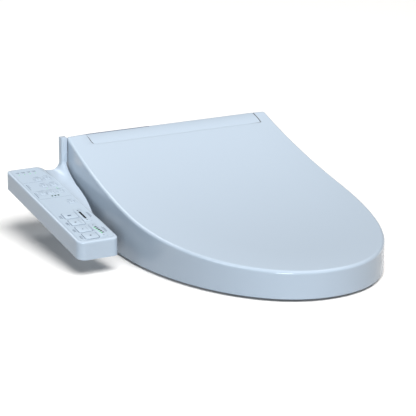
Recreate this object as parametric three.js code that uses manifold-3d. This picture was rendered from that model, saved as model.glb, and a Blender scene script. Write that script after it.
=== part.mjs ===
// Electric bidet seat that bolts to the rim of an elongated toilet bowl.
// Millimetres, +Z up, +Y towards the tank, front of the seat towards -Y.
// z = 0 is the plane of the bowl rim; the origin lies on the underside of the
// mounting plate, midway between the two fixing slots.
import * as THREE from 'three';
import { mergeVertices } from 'three/addons/utils/BufferGeometryUtils.js';
import Module from 'manifold-3d';

const wasm = await Module();
wasm.setup();

// ---------------------------------------------------------------- driving sizes
const GAP = 0.3;                 // clearance between neighbouring pieces
const WALL = 3;                  // moulded wall thickness

const REAR_Y = 67;               // rear plane of the unit and of the control arm
const LID_REAR_Y = 66.5;         // rear of the lid's two ears
const LID_CORNER_Y = 60;         // where the lid's top starts its rear edge
const LID_LENGTH = 530;          // rear corner to front tip
const LID_MAX_HALF = 190.3;      // half width at the widest place
const LID_REAR_HALF = LID_MAX_HALF - 6.8; // half width at the rear corners
const LID_WIDEST = 229;          // distance from rear corner to the widest place
const LID_FRONT_POWER_Y = 1.964; // roundness of the front, lengthwise
const LID_FRONT_POWER_X = 2.106; // roundness of the front, crosswise
const LID_BOTTOM_Z = 3.6;        // lower edge of the skirt
const LID_REAR_Z = 143.75;       // height of the top at the rear corner
const LID_DROP = [-224.8, 174.1, -46.1]; // top height falls as a cubic in y / length
const LID_TIP_Y = LID_CORNER_Y - LID_LENGTH;

const HINGE_Y = 58;              // seat and lid turn about one line along X
const HINGE_Z = 121;
const HINGE_PIN_R = 3.2;

const STRIP_LEFT = 34.5 - LID_REAR_HALF; // fixed trim strip set into the lid's rear
const STRIP_RIGHT = LID_REAR_HALF - 23.5;
const STRIP_FRONT_Y = 34.5;
const STRIP_GAP = 0.8;

const UNIT_HALF = LID_REAR_HALF - 5.5; // half width of the main unit's base
const UNIT_FRONT_Y = -80;
const ARM_ROOT_FRONT_Y = -4;     // front of the bridge between base and control arm
const BASE_BOTTOM_Z = 5;
const BASE_TOP_Z = 47;
const DECK_TOP_Z = 50;
const CHEEK_TOP_Z = 95;
const CHEEK_FRONT_Y = 48;

const PANEL_WIDTH = 66;          // raised panel of the control arm
const ARM_FIN_X = -LID_MAX_HALF - 4.7; // outer side of the upright fin beside the lid
const ARM_INNER_X = ARM_FIN_X - 27;    // inner edge of the raised panel
const ARM_OUTER_X = ARM_INNER_X - PANEL_WIDTH;
const ARM_REAR_Z = 98.8;         // height of the panel at its rear edge
const ARM_TILT = Math.atan(0.167);
const ARM_LENGTH = 277.6;        // along the slope
const ARM_DEPTH = 28;            // thickness of the arm
const ARM_VALLEY = 6.3;          // the web beside the panel lies this much lower

const SEAT_INSET = 7;            // seat outline lies this far inside the lid's
const SEAT_REAR_Y = -84;
const SEAT_BOTTOM_Z = 8;
const SEAT_FRONT_Z = 39;         // height of the sitting face at the front
const SEAT_RISE = 0.06;          // its rise per millimetre to the rear
const OPENING_HALF = LID_MAX_HALF - 86.3;
const OPENING_FRONT_Y = LID_TIP_Y + 85;
const OPENING_REAR_Y = -118;

const NOZZLE_DIP = 35 * Math.PI / 180;
const NOZZLE_MOUTH = { y: -80, z: 22 };
const NOZZLE_BACK_OFF = 42;      // parked tip to gate, along the wand
const WAND_LENGTH = 108;
const WAND_R = 7;
const SLEEVE_R = WAND_R + 2;
const SLEEVE_START = 14;         // sleeve mouth behind the wand's tip when parked

const INLET_X = UNIT_HALF - 38;  // water, drain and power at the back
const DRAIN_X = UNIT_HALF - 66;
const GLAND_X = 28 - UNIT_HALF;
const PORT_Z = 24;
const SWITCH_X = STRIP_LEFT - 11.5; // sitting switch under the seat's hinge bar

const WIDE = 2 * LID_MAX_HALF;   // reaches past both sides of everything
const PLATE_TOP_Z = 4.5;
const FIXING_SPACING = 140;

// ---------------------------------------------------------------- materials
function finish(name, color, roughness, metalness = 0) {
  const m = new THREE.MeshStandardMaterial({ color, roughness, metalness });
  m.name = name;
  return m;
}
const GLOSS = finish('gloss_shell', 0xd3e0ee, 0.18);
const GLOSS_SEAT = finish('gloss_seat', 0xe4ebf1, 0.22);
const SATIN = finish('satin_case', 0xcfdae6, 0.4);
const FILM = finish('panel_film', 0xcbdbea, 0.35);
const KEYCAP = finish('keycap', 0xd6e3f0, 0.35);
const GREY = finish('grey_plastic', 0x8c949c, 0.5);
const DARK = finish('dark_plastic', 0x2c3036, 0.5);
const RUBBER = finish('rubber', 0x9aa1a6, 0.8);
const LIGHT = finish('light_guide', 0x8fe0b0, 0.2);
const BLACK = finish('display_lens', 0x101418, 0.1);
const STEEL = finish('steel', 0xb8bcc0, 0.3, 1);
const BRASS = finish('brass', 0xb8964f, 0.35, 1);
const BOARD = finish('circuit_board', 0x2c6b45, 0.5);
const FOIL = finish('heater_foil', 0xb7b9bb, 0.4, 0.8);

// ---------------------------------------------------------------- solids
function solid(geometry) {
  const g = geometry.index ? geometry.clone() : geometry;
  g.deleteAttribute('normal');
  g.deleteAttribute('uv');
  const merged = mergeVertices(g, 1e-4);
  return new wasm.Manifold(new wasm.Mesh({
    numProp: 3,
    vertProperties: new Float32Array(merged.attributes.position.array),
    triVerts: new Uint32Array(merged.index.array),
  }));
}
function join(first, ...rest) {
  return rest.reduce((all, s) => all.add(s), first);
}
function cut(first, ...rest) {
  return rest.reduce((all, s) => all.subtract(s), first);
}
function box(x0, x1, y0, y1, z0, z1) {
  const g = new THREE.BoxGeometry(x1 - x0, y1 - y0, z1 - z0);
  g.translate((x0 + x1) / 2, (y0 + y1) / 2, (z0 + z1) / 2);
  return solid(g);
}
function extrude(points, depth) {
  const shape = new THREE.Shape(points.map(([a, b]) => new THREE.Vector2(a, b)));
  return new THREE.ExtrudeGeometry(shape, { depth, bevelEnabled: false });
}
// A plan outline (x, y) standing from z0 to z1.
function standing(points, z0, z1) {
  const g = extrude(points, z1 - z0);
  g.translate(0, 0, z0);
  return solid(g);
}
// A side outline (y, z) running across from x0 to x1.
const SIDE_BASIS = new THREE.Matrix4().makeBasis(
  new THREE.Vector3(0, 1, 0), new THREE.Vector3(0, 0, 1), new THREE.Vector3(1, 0, 0));
function across(points, x0, x1) {
  const g = extrude(points, x1 - x0);
  g.applyMatrix4(SIDE_BASIS);
  g.translate(x0, 0, 0);
  return solid(g);
}
function rod(axis, r, from, to, a, b, sides = 20) {
  const g = new THREE.CylinderGeometry(r, r, to - from, sides);
  const mid = (from + to) / 2;
  if (axis === 'x') {
    g.rotateZ(Math.PI / 2);
    g.translate(mid, a, b);
  } else if (axis === 'y') {
    g.translate(a, mid, b);
  } else {
    g.rotateX(Math.PI / 2);
    g.translate(a, b, mid);
  }
  return solid(g);
}
function roundedRect(cx, cy, w, h, r, steps = 3) {
  const points = [];
  const corners = [[1, -1, -90], [1, 1, 0], [-1, 1, 90], [-1, -1, 180]];
  for (const [sx, sy, start] of corners) {
    for (let i = 0; i <= steps; i += 1) {
      const a = (start + 90 * i / steps) * Math.PI / 180;
      points.push([
        cx + sx * (w / 2 - r) + r * Math.cos(a),
        cy + sy * (h / 2 - r) + r * Math.sin(a),
      ]);
    }
  }
  return points;
}
function pad(cx, cy, w, h, r, z0, z1, steps = 3) {
  return standing(roundedRect(cx, cy, w, h, r, steps), z0, z1);
}

const object = new THREE.Group();
function addSolid(name, material, body, parent = object) {
  const out = body.getMesh();
  const g = new THREE.BufferGeometry();
  g.setAttribute('position', new THREE.BufferAttribute(new Float32Array(out.vertProperties), 3));
  g.setIndex(new THREE.BufferAttribute(new Uint32Array(out.triVerts), 1));
  g.computeVertexNormals();
  const mesh = new THREE.Mesh(g, material);
  mesh.name = name;
  parent.add(mesh);
  return mesh;
}

// ---------------------------------------------------------------- outlines
// The lid's plan outline, counter-clockwise, grown outwards by a distance.
function lidHalfWidth(y) {
  const t = Math.min(Math.max((LID_CORNER_Y - y) / LID_WIDEST, 0), 1);
  return LID_REAR_HALF + (LID_MAX_HALF - LID_REAR_HALF) * Math.sin(Math.PI / 2 * t);
}
function lidRightSide(rearY, frontSteps) {
  const widestY = LID_CORNER_Y - LID_WIDEST;
  const nose = LID_LENGTH - LID_WIDEST;
  const side = [];
  for (let i = 0; i <= frontSteps; i += 1) {
    const a = Math.PI / 2 * (1 - i / frontSteps);
    side.push([
      LID_MAX_HALF * Math.cos(a) ** (2 / LID_FRONT_POWER_X),
      widestY - nose * Math.sin(a) ** (2 / LID_FRONT_POWER_Y),
    ]);
  }
  side[0][0] = 0;
  for (const y of [-110, -50, 0, rearY]) {
    if (y <= rearY) side.push([lidHalfWidth(y), y]);
  }
  return side;
}
function lidOutline(grow, rearY, frontSteps = 20) {
  const side = lidRightSide(rearY, frontSteps);
  const grown = side.map((p, i) => {
    const a = side[Math.max(i - 1, 0)];
    const b = side[Math.min(i + 1, side.length - 1)];
    const nx = b[1] - a[1];
    const ny = a[0] - b[0];
    const n = Math.hypot(nx, ny);
    if (i === 0) return [0, p[1] - grow];
    return [p[0] + grow * nx / n, p[1] + grow * ny / n];
  });
  grown[grown.length - 1][1] = rearY;
  const left = grown.slice(1).reverse().map(([x, y]) => [-x, y]);
  return [...grown, ...left];
}
// Height of the lid's top surface.
function lidTopZ(y) {
  const t = (LID_CORNER_Y - y) / LID_LENGTH;
  const [a, b, c] = LID_DROP;
  return LID_REAR_Z + a * t + b * t * t + c * t * t * t;
}
const LID_STATIONS = [1.0943, 0.9434, 0.7925, 0.6604, 0.5283, 0.4151, 0.3113, 0.2264,
  0.1509, 0.0849, 0.034, 0.0151];
// Lid top as a side outline, lowered by a distance, closed far below.
function lidProfile(lower, rearY) {
  const points = [[LID_TIP_Y - 50, -50]];
  for (const t of LID_STATIONS) {
    const y = LID_CORNER_Y - t * LID_LENGTH;
    points.push([y, lidTopZ(Math.max(y, LID_TIP_Y)) - lower]);
  }
  points.push([58, lidTopZ(56.5) - lower]);
  points.push([63 - lower * 0.6, lidTopZ(52) - 1.6 - lower * 0.9]);
  points.push([rearY, 131 - lower * 0.6]);
  points.push([rearY, -50]);
  return points.reverse();
}
// Height of the seat's sitting face.
function seatTopZ(y) {
  return SEAT_FRONT_Z + (y - LID_TIP_Y - SEAT_INSET) * SEAT_RISE;
}

// ---------------------------------------------------------------- mounting plate
function makeMountingPlate() {
  const slots = [-1, 1].map((side) =>
    pad(side * FIXING_SPACING / 2, 0, 13, 34, 6, -1, 10));
  const plate = pad(0, 0, 210, 84, 10, 0, PLATE_TOP_Z);
  const catchHole = pad(88, 30, 12, 8, 1.5, -1, 10);
  addSolid('mounting_plate', GREY, cut(plate, ...slots, catchHole));
}

// ---------------------------------------------------------------- main unit
const ARM_MATRIX = new THREE.Matrix4()
  .makeRotationX(ARM_TILT)
  .setPosition(ARM_OUTER_X, REAR_Y, ARM_REAR_Z);
// Panel frame: x across from the outer edge, y = 0 at the rear and falling to
// the front, z = 0 on the panel face.
function tilted(body) {
  return body.transform(ARM_MATRIX.elements);
}
// Where the web's inner edge meets the panel's inner edge, and where it starts.
const WEB_START = [ARM_FIN_X + 2, 50];
const WEB_END = [ARM_INNER_X, -121];
function armOutline(inset) {
  const frontY = REAR_Y - ARM_LENGTH * Math.cos(ARM_TILT);
  const r = 13 - inset;
  const corner = [];
  for (let i = 0; i <= 5; i += 1) {
    const a = Math.PI / 2 * (1 + i / 5) + Math.PI / 2;
    corner.push([
      ARM_OUTER_X + 13 + r * Math.cos(a),
      frontY + 13 + r * Math.sin(a),
    ]);
  }
  const innerCorner = [];
  for (let i = 0; i <= 4; i += 1) {
    const a = Math.PI / 2 * (i / 4) - Math.PI / 2;
    innerCorner.push([
      ARM_INNER_X - 9 + (9 - inset) * Math.cos(a),
      frontY + 9 + (9 - inset) * Math.sin(a),
    ]);
  }
  return [
    [ARM_OUTER_X + inset, REAR_Y - 8],
    ...corner,
    ...innerCorner,
    [WEB_END[0] - inset, WEB_END[1]],
    [WEB_START[0] - inset, WEB_START[1]],
    [WEB_START[0] - inset, REAR_Y - inset],
    [ARM_OUTER_X + 8 + inset * 0.6, REAR_Y - inset],
    [ARM_OUTER_X + 2 + inset * 0.9, REAR_Y - 2.5 - inset * 0.6],
  ];
}
// A slab in the panel frame between two depths under the panel face.
function armSlab(x0, x1, from, to) {
  return tilted(box(x0 - ARM_OUTER_X, x1 - ARM_OUTER_X, -400, 60, from, to));
}
function neckOutline(inset) {
  const slope = (WEB_START[0] - WEB_END[0]) / (WEB_START[1] - WEB_END[1]);
  const edge = (y) => WEB_START[0] - (WEB_START[1] - y) * slope - WALL - GAP - 0.2 - inset;
  return [
    [ARM_INNER_X - 16 + inset, ARM_ROOT_FRONT_Y + inset],
    [edge(ARM_ROOT_FRONT_Y), ARM_ROOT_FRONT_Y + inset],
    [edge(WEB_START[1]), WEB_START[1]],
    [edge(WEB_START[1]), REAR_Y - 4 - inset],
    [ARM_INNER_X - 16 + inset, REAR_Y - 4 - inset],
  ];
}
function makeUnitBase() {
  const foot = pad(0, (UNIT_FRONT_Y + REAR_Y) / 2, UNIT_HALF * 2, REAR_Y - UNIT_FRONT_Y,
    7, BASE_BOTTOM_Z, BASE_TOP_Z);
  const hollow = pad(0, (UNIT_FRONT_Y + REAR_Y) / 2, UNIT_HALF * 2 - 2 * WALL,
    REAR_Y - UNIT_FRONT_Y - 2 * WALL, 4, BASE_BOTTOM_Z + WALL, 60);
  const root = box(ARM_FIN_X - 9, -UNIT_HALF + 1, ARM_ROOT_FRONT_Y, REAR_Y - 4, 8, 37);
  const rootHollow = box(ARM_FIN_X - 11, -UNIT_HALF + 5, ARM_ROOT_FRONT_Y + WALL, REAR_Y - 7, 11, 34);
  const underside = armSlab(-400, 0, -ARM_DEPTH + 0.8, 40);
  const neck = cut(standing(neckOutline(0), 8, 120), underside);
  const neckHollow = standing(neckOutline(WALL), 11, 120);
  const floorPlan = standing(armOutline(WALL + GAP), -100, 200);
  const armFloor = floorPlan.intersect(armSlab(-400, 0, -ARM_DEPTH + 0.5, -ARM_DEPTH + 3.2));
  const outside = join(foot, root, neck, armFloor);
  const inside = join(rootHollow, neckHollow, hollow);
  const mouth = box(-25, 25, UNIT_FRONT_Y - 5, UNIT_FRONT_Y + 5, 8.5, 44);
  const inletHole = rod('y', 11.5, 50, 80, INLET_X, PORT_Z);
  const drainHole = rod('y', 10.5, 50, 80, DRAIN_X, PORT_Z);
  const glandHole = rod('y', 8.5, 50, 80, GLAND_X, PORT_Z);
  const cartridgeSlot = box(38, 82, 50, 80, 12, 36);
  const buttonHole = rod('x', 7.5, UNIT_HALF - 18, UNIT_HALF + 12, -20, 28);
  const catchSlot = box(82, 94, 26, 34, 0, 20);
  addSolid('unit_base', SATIN, cut(outside, inside, mouth, inletHole, drainHole, glandHole,
    cartridgeSlot, buttonHole, catchSlot));
}
// Side outline of the raised middle of the cover, lowered by a wall thickness.
function humpProfile(inset) {
  const under = (y) => lidTopZ(y) - WALL - 3.4 - inset;
  return [
    [UNIT_FRONT_Y + inset, 40],
    [UNIT_FRONT_Y + inset, under(UNIT_FRONT_Y) - 8],
    [UNIT_FRONT_Y + 7 + inset, under(UNIT_FRONT_Y + 7)],
    [-40, under(-40)],
    [0, under(0)],
    [32, under(32)],
    [38, 130 - inset],
    [56, 136.6 - inset],
    [63 - inset, 137 - inset],
    [63 - inset, 108 - inset * 0.2],
    [REAR_Y - inset, 107.6 - inset],
    [REAR_Y - inset, 40],
  ].reverse();
}
function makeUnitCover() {
  const deck = pad(0, (UNIT_FRONT_Y + REAR_Y) / 2, UNIT_HALF * 2, REAR_Y - UNIT_FRONT_Y,
    7, BASE_TOP_Z + GAP, DECK_TOP_Z);
  const above = box(-WIDE, WIDE, -100, 100, BASE_TOP_Z + GAP, 200);
  const hump = across(humpProfile(0), STRIP_LEFT, STRIP_RIGHT).intersect(above);
  const humpHollow = across(humpProfile(WALL), STRIP_LEFT + WALL, STRIP_RIGHT - WALL);
  const cheekLeft = box(-UNIT_HALF + 7, STRIP_LEFT + 1, CHEEK_FRONT_Y, REAR_Y, 48, CHEEK_TOP_Z);
  const cheekRight = box(STRIP_RIGHT - 1, UNIT_HALF, CHEEK_FRONT_Y, REAR_Y, 48, CHEEK_TOP_Z);
  const leftHollow = box(-UNIT_HALF + 10, STRIP_LEFT - 2, CHEEK_FRONT_Y + 3, REAR_Y - 3,
    40, CHEEK_TOP_Z - 3);
  const rightHollow = box(STRIP_RIGHT + 2, UNIT_HALF - 3, CHEEK_FRONT_Y + 3, REAR_Y - 3,
    40, CHEEK_TOP_Z - 3);
  const pinHole = rod('x', HINGE_PIN_R + GAP, -WIDE, WIDE, HINGE_Y, HINGE_Z);
  const switchHole = pad(SWITCH_X, -60, 9, 9, 2, 40, 60);
  addSolid('unit_cover', SATIN, cut(join(deck, hump, cheekLeft, cheekRight),
    humpHollow, leftHollow, rightHollow, pinHole, switchHole));
}
function stripProfile(inset) {
  return [
    [STRIP_FRONT_Y + inset, 126],
    [STRIP_FRONT_Y + inset, 131 - inset],
    [36.2 + inset, 133.4 - inset],
    [45, 137.3 - inset],
    [56, 140.9 - inset],
    [63.5 - inset * 0.6, 142.2 - inset],
    [REAR_Y - inset, 140 - inset],
    [REAR_Y - inset, 100],
  ].reverse();
}
function makeTrimStrip() {
  const outer = across(stripProfile(0), STRIP_LEFT, STRIP_RIGHT);
  const inner = across(stripProfile(2.6), STRIP_LEFT - 5, STRIP_RIGHT + 5);
  const hump = across(humpProfile(-GAP), STRIP_LEFT - 5, STRIP_RIGHT + 5);
  const louvre = box(-144, -34, REAR_Y - 1, REAR_Y + 5, 134.5, 137.5);
  addSolid('top_trim_strip', GLOSS, cut(outer, inner, hump, louvre));
}

// ---------------------------------------------------------------- control arm
// Panel layout: centre across, and along as a distance from the rear edge on a
// panel of the nominal length.
const ALONG = ARM_LENGTH / 277.6;
const MAIN_KEYS = [
  ['stop_key', 26.7, 186.8],
  ['rear_wash_key', 26.7, 211],
  ['front_wash_key', 26.7, 236],
  ['dryer_key', 26.7, 260.3],
];
const MAIN_KEY_SIZE = [22, 19.6];
const SMALL_KEYS = [
  ['power_key', 34.4, 47.5],
  ['energy_saver_key', 50.2, 47.5],
  ['deodorizer_key', 34.4, 72.8],
  ['night_light_key', 50.2, 72.8],
  ['water_heat_key', 20.4, 98.8],
  ['seat_heat_key', 34.4, 98.8],
  ['dryer_heat_key', 50.2, 98.8],
  ['preset_key', 50.2, 140.6],
];
const SMALL_KEY_SIZE = [12.4, 13.4];
const ROCKERS = [
  ['pressure_rocker', 'pressure_display', 45.6, 191, 12, 44, 3.6, 25.5],
  ['position_rocker', 'position_display', 45.9, 245.3, 12, 46, 8, 26],
];
const LIGHT_GUIDES = [
  ['status_light_guide', 26.8, 24, 33, 4],
  ['mode_light_guide', 42.5, 84.4, 20, 4.6],
  ['level_light_guide', 35.8, 112.2, 15, 4],
];
const KEY_GAP = 0.45;
const FILM_TOP = 0.85;           // film surface above the shell
const KEY_TOP = 1.35;            // key surface above the shell
const SMALL_KEY_TOP = 1.0;
const KEY_FOOT = -4.6;

function keyHoles(grow) {
  const holes = [];
  for (const [, u, v] of MAIN_KEYS) {
    holes.push(pad(u, -v * ALONG, MAIN_KEY_SIZE[0] + 2 * grow, MAIN_KEY_SIZE[1] + 2 * grow, 3 + grow, -9, 9));
  }
  for (const [, u, v] of SMALL_KEYS) {
    holes.push(pad(u, -v * ALONG, SMALL_KEY_SIZE[0] + 2 * grow, SMALL_KEY_SIZE[1] + 2 * grow,
      3.4 + grow, -9, 9));
  }
  for (const [, , u, v, w, h] of ROCKERS) {
    holes.push(pad(u, -v * ALONG, w + 2 * grow, h + 2 * grow, 2.5 + grow, -9, 9));
  }
  return holes;
}
function guideHoles(grow) {
  return LIGHT_GUIDES.map(([, u, v, w, h]) =>
    pad(u, -v * ALONG, w + 2 * grow, h + 2 * grow, 1.5 + grow, -9, 9, 1));
}
function makeArmShell() {
  const plan = standing(armOutline(0), -50, 200);
  const inside = standing(armOutline(WALL), -50, 200);
  const panelBody = armSlab(-400, ARM_INNER_X, -ARM_DEPTH, 0);
  const webBody = armSlab(ARM_INNER_X - 1, -100, -ARM_DEPTH, -ARM_VALLEY);
  const panelHollow = armSlab(-400, ARM_INNER_X - WALL, -ARM_DEPTH - 9, -WALL);
  const webHollow = armSlab(ARM_INNER_X - 10, -100, -ARM_DEPTH - 9, -ARM_VALLEY - WALL);
  const outer = plan.intersect(join(panelBody, webBody));
  const hollow = inside.intersect(join(panelHollow, webHollow));
  const fin = across([[56, 70], [REAR_Y, 70], [REAR_Y, 139], [64, 143.4], [58, 143.4],
    [56, 141]], ARM_FIN_X, -LID_REAR_HALF - 3.1);
  const openings = join(...keyHoles(KEY_GAP), ...guideHoles(GAP));
  addSolid('control_arm_shell', GLOSS, cut(join(outer, fin), hollow, tilted(openings)));
}
function addPanelPiece(name, material, body) {
  addSolid(name, material, tilted(body));
}
function makePanel() {
  const sheet = pad(PANEL_WIDTH / 2, -ARM_LENGTH / 2, PANEL_WIDTH - 9, ARM_LENGTH - 12, 7,
    GAP, FILM_TOP);
  addPanelPiece('panel_film', FILM, cut(sheet, ...keyHoles(KEY_GAP)));
  for (const [name, u, v] of MAIN_KEYS) {
    addPanelPiece(name, KEYCAP,
      pad(u, -v * ALONG, MAIN_KEY_SIZE[0], MAIN_KEY_SIZE[1], 3, KEY_FOOT, KEY_TOP));
  }
  for (const [name, u, v] of SMALL_KEYS) {
    addPanelPiece(name, KEYCAP,
      pad(u, -v * ALONG, SMALL_KEY_SIZE[0], SMALL_KEY_SIZE[1], 3.4, KEY_FOOT, SMALL_KEY_TOP));
  }
  for (const [rocker, display, u, v, w, h, dw, dh] of ROCKERS) {
    const window = pad(u, -v * ALONG, dw + 1.6, dh + 1.8, 1.2, -9, 9, 1);
    const body = pad(u, -v * ALONG, w, h, 2.5, -3.4, 1.1);
    addPanelPiece(rocker, KEYCAP, cut(body, window));
    addPanelPiece(display, BLACK, pad(u, -v * ALONG, dw, dh, 0.8, -4.4, 0.75, 1));
  }
  for (const [name, u, v, w, h] of LIGHT_GUIDES) {
    addPanelPiece(name, LIGHT, pad(u, -v * ALONG, w, h, 1.5, -3.6, 0, 1));
  }
  const board = pad(PANEL_WIDTH / 2 - 1, -ARM_LENGTH / 2 - 2, PANEL_WIDTH - 12,
    ARM_LENGTH - 34, 3, -8.2, -6.6, 1);
  const connector = box(10, 34, -36, -24, -13.5, -8);
  addPanelPiece('panel_board', BOARD, join(board, connector));
}

// ---------------------------------------------------------------- hinges
function makeHinges() {
  const spans = [
    ['left', 4 - LID_REAR_HALF, STRIP_LEFT + WALL + 1.2, STRIP_LEFT + WALL + 1.5, STRIP_LEFT + 40],
    ['right', STRIP_RIGHT - WALL - 1.2, LID_REAR_HALF - 4, STRIP_RIGHT - 40, STRIP_RIGHT - WALL - 1.5],
  ];
  for (const [side, p0, p1, d0, d1] of spans) {
    addSolid(`hinge_pin_${side}`, STEEL, rod('x', HINGE_PIN_R, p0, p1, HINGE_Y, HINGE_Z, 16));
    const barrel = rod('x', 8.7, d0, d1, HINGE_Y - 7, HINGE_Z - 1, 16);
    const flat = box(d0, d1, HINGE_Y - 15, HINGE_Y + 0.5, HINGE_Z - 14, HINGE_Z - 4);
    addSolid(`hinge_damper_${side}`, DARK, join(barrel, flat));
  }
}

// ---------------------------------------------------------------- seat
const LUGS = [
  { seat: [STRIP_LEFT - 20, STRIP_LEFT - 3], lid: [2.5 - LID_REAR_HALF, STRIP_LEFT - 22] },
  { seat: [STRIP_RIGHT + 3, STRIP_RIGHT + 11], lid: [STRIP_RIGHT + 12.4, LID_REAR_HALF - 2.5] },
];
const ARM_END = { y: -112, z: 47 };
function seatOutline(grow) {
  return lidOutline(grow - SEAT_INSET, SEAT_REAR_Y, 16);
}
function openingOutline(grow) {
  const points = [];
  const midY = (OPENING_FRONT_Y + OPENING_REAR_Y) / 2;
  const halfLength = (OPENING_REAR_Y - OPENING_FRONT_Y) / 2;
  for (let i = 0; i < 28; i += 1) {
    const a = Math.PI * 2 * i / 28;
    const c = Math.cos(a);
    const s = Math.sin(a);
    points.push([
      (OPENING_HALF + grow) * Math.sign(c) * Math.abs(c) ** 0.86,
      midY + (halfLength + grow) * Math.sign(s) * Math.abs(s) ** 0.86,
    ]);
  }
  return points;
}
function seatProfile(lower, z0) {
  return [
    [LID_TIP_Y - 50, z0],
    [-60, z0],
    [-60, seatTopZ(-60) - lower],
    [LID_TIP_Y + 30, seatTopZ(LID_TIP_Y + 30) - lower],
    [LID_TIP_Y + 14, seatTopZ(LID_TIP_Y + 14) - 1.5 - lower],
    [LID_TIP_Y - 50, seatTopZ(LID_TIP_Y + 14) - 14 - lower],
  ];
}
function bridgeRelief(grow) {
  return box(-62 - grow, 62 + grow, OPENING_REAR_Y - 12, SEAT_REAR_Y + 9, -5, 46 + grow);
}
function makeSeat() {
  const crown = across(seatProfile(0, SEAT_BOTTOM_Z), -WIDE, WIDE);
  const outer = standing(seatOutline(0), SEAT_BOTTOM_Z, 90).intersect(crown);
  const under = across(seatProfile(WALL, -20), -WIDE, WIDE);
  const inner = standing(seatOutline(-WALL), -10, 90).intersect(under)
    .subtract(standing(openingOutline(WALL), -20, 100));
  const bars = LUGS.map(({ seat: [x0, x1] }) => {
    const dir = new THREE.Vector2(ARM_END.y - HINGE_Y, ARM_END.z - HINGE_Z).normalize();
    const n = [-dir.y * 7, dir.x * 7];
    const tip = [ARM_END.y, ARM_END.z];
    const bar = across([
      [HINGE_Y + n[0], HINGE_Z + n[1]],
      [tip[0] + n[0], tip[1] + n[1]],
      [tip[0] - n[0], tip[1] - n[1]],
      [HINGE_Y - n[0], HINGE_Z - n[1]],
    ].reverse(), x0, x1);
    return join(bar, rod('x', 8, x0, x1, HINGE_Y, HINGE_Z));
  });
  const ring = cut(outer, inner, standing(openingOutline(0), -20, 100));
  const bore = rod('x', HINGE_PIN_R + GAP, -WIDE, WIDE, HINGE_Y, HINGE_Z);
  const lowerHalf = box(-WIDE, WIDE, -140, 0, -20, SEAT_BOTTOM_Z);
  addSolid('seat_shell', GLOSS_SEAT,
    cut(join(ring, ...bars), bore, bridgeRelief(0), lowerHalf));

  const plate = standing(seatOutline(-WALL - GAP), SEAT_BOTTOM_Z, SEAT_BOTTOM_Z + 2.6);
  const barRoom = LUGS.map(({ seat: [x0, x1] }) => box(x0 - 1, x1 + 1, -125, -70, -5, 60));
  addSolid('seat_bottom', SATIN, cut(plate, standing(openingOutline(WALL + GAP), -20, 100),
    bridgeRelief(GAP + 1), ...barRoom));

  const foilPlan = standing(seatOutline(-24), 0, 90);
  const foil = foilPlan
    .intersect(across(seatProfile(WALL + GAP, -20), -WIDE, WIDE))
    .subtract(across(seatProfile(WALL + 0.9, -20), -WIDE, WIDE))
    .subtract(standing(openingOutline(14), -20, 100))
    .subtract(box(-WIDE, WIDE, -130, 0, -20, 100));
  addSolid('seat_heater', FOIL, foil);

  const frontY = LID_TIP_Y + 54;
  const rearX = LID_MAX_HALF - 40.3;
  const bumpers = [['front_left', -60, frontY], ['front_right', 60, frontY],
    ['rear_left', -rearX, -190], ['rear_right', rearX, -190]];
  for (const [place, x, y] of bumpers) {
    addSolid(`seat_bumper_${place}`, RUBBER, pad(x, y, 36, 16, 7.5, 0, SEAT_BOTTOM_Z - GAP));
  }
}

// ---------------------------------------------------------------- lid
function makeLid() {
  const outer = standing(lidOutline(0, LID_REAR_Y), LID_BOTTOM_Z, 200)
    .intersect(across(lidProfile(0, LID_REAR_Y), -WIDE, WIDE));
  const inner = standing(lidOutline(-WALL, LID_REAR_Y - WALL), -20, 200)
    .intersect(across(lidProfile(WALL + 0.2, LID_REAR_Y - WALL), -WIDE, WIDE));
  const shell = cut(outer, inner);
  const lugs = LUGS.map(({ lid: [x0, x1] }) => join(
    rod('x', 7.5, x0, x1, HINGE_Y, HINGE_Z),
    box(x0, x1, HINGE_Y - 7, HINGE_Y + 5, HINGE_Z, 136),
  ));
  const bore = rod('x', HINGE_PIN_R + GAP, 3.5 - LID_REAR_HALF, LID_REAR_HALF - 3.5,
    HINGE_Y, HINGE_Z);
  const stripRoom = box(STRIP_LEFT - STRIP_GAP, STRIP_RIGHT + STRIP_GAP,
    STRIP_FRONT_Y - STRIP_GAP, 100, 100, 200);
  const rearHalf = LID_REAR_HALF - WALL - 0.1;
  const rearRoom = box(-rearHalf, rearHalf, LID_REAR_Y - 12, 100, -10, 128);
  const armRoom = box(ARM_INNER_X, STRIP_LEFT, ARM_ROOT_FRONT_Y - 8, 100, -10, 42);
  const open = cut(shell, stripRoom, rearRoom, armRoom);
  addSolid('lid', GLOSS, cut(join(open, ...lugs), bore));
  const bumperX = LID_MAX_HALF / 2;
  const bumperY = LID_TIP_Y + 0.141 * LID_LENGTH;
  for (const [side, s] of [['left', -1], ['right', 1]]) {
    const under = across(lidProfile(WALL + 0.5, LID_REAR_Y), -WIDE, WIDE);
    const bumper = pad(s * bumperX, bumperY, 26, 12, 5.5, seatTopZ(bumperY) + 0.8, 90)
      .intersect(under);
    addSolid(`lid_bumper_${side}`, RUBBER, bumper);
  }
}

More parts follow.
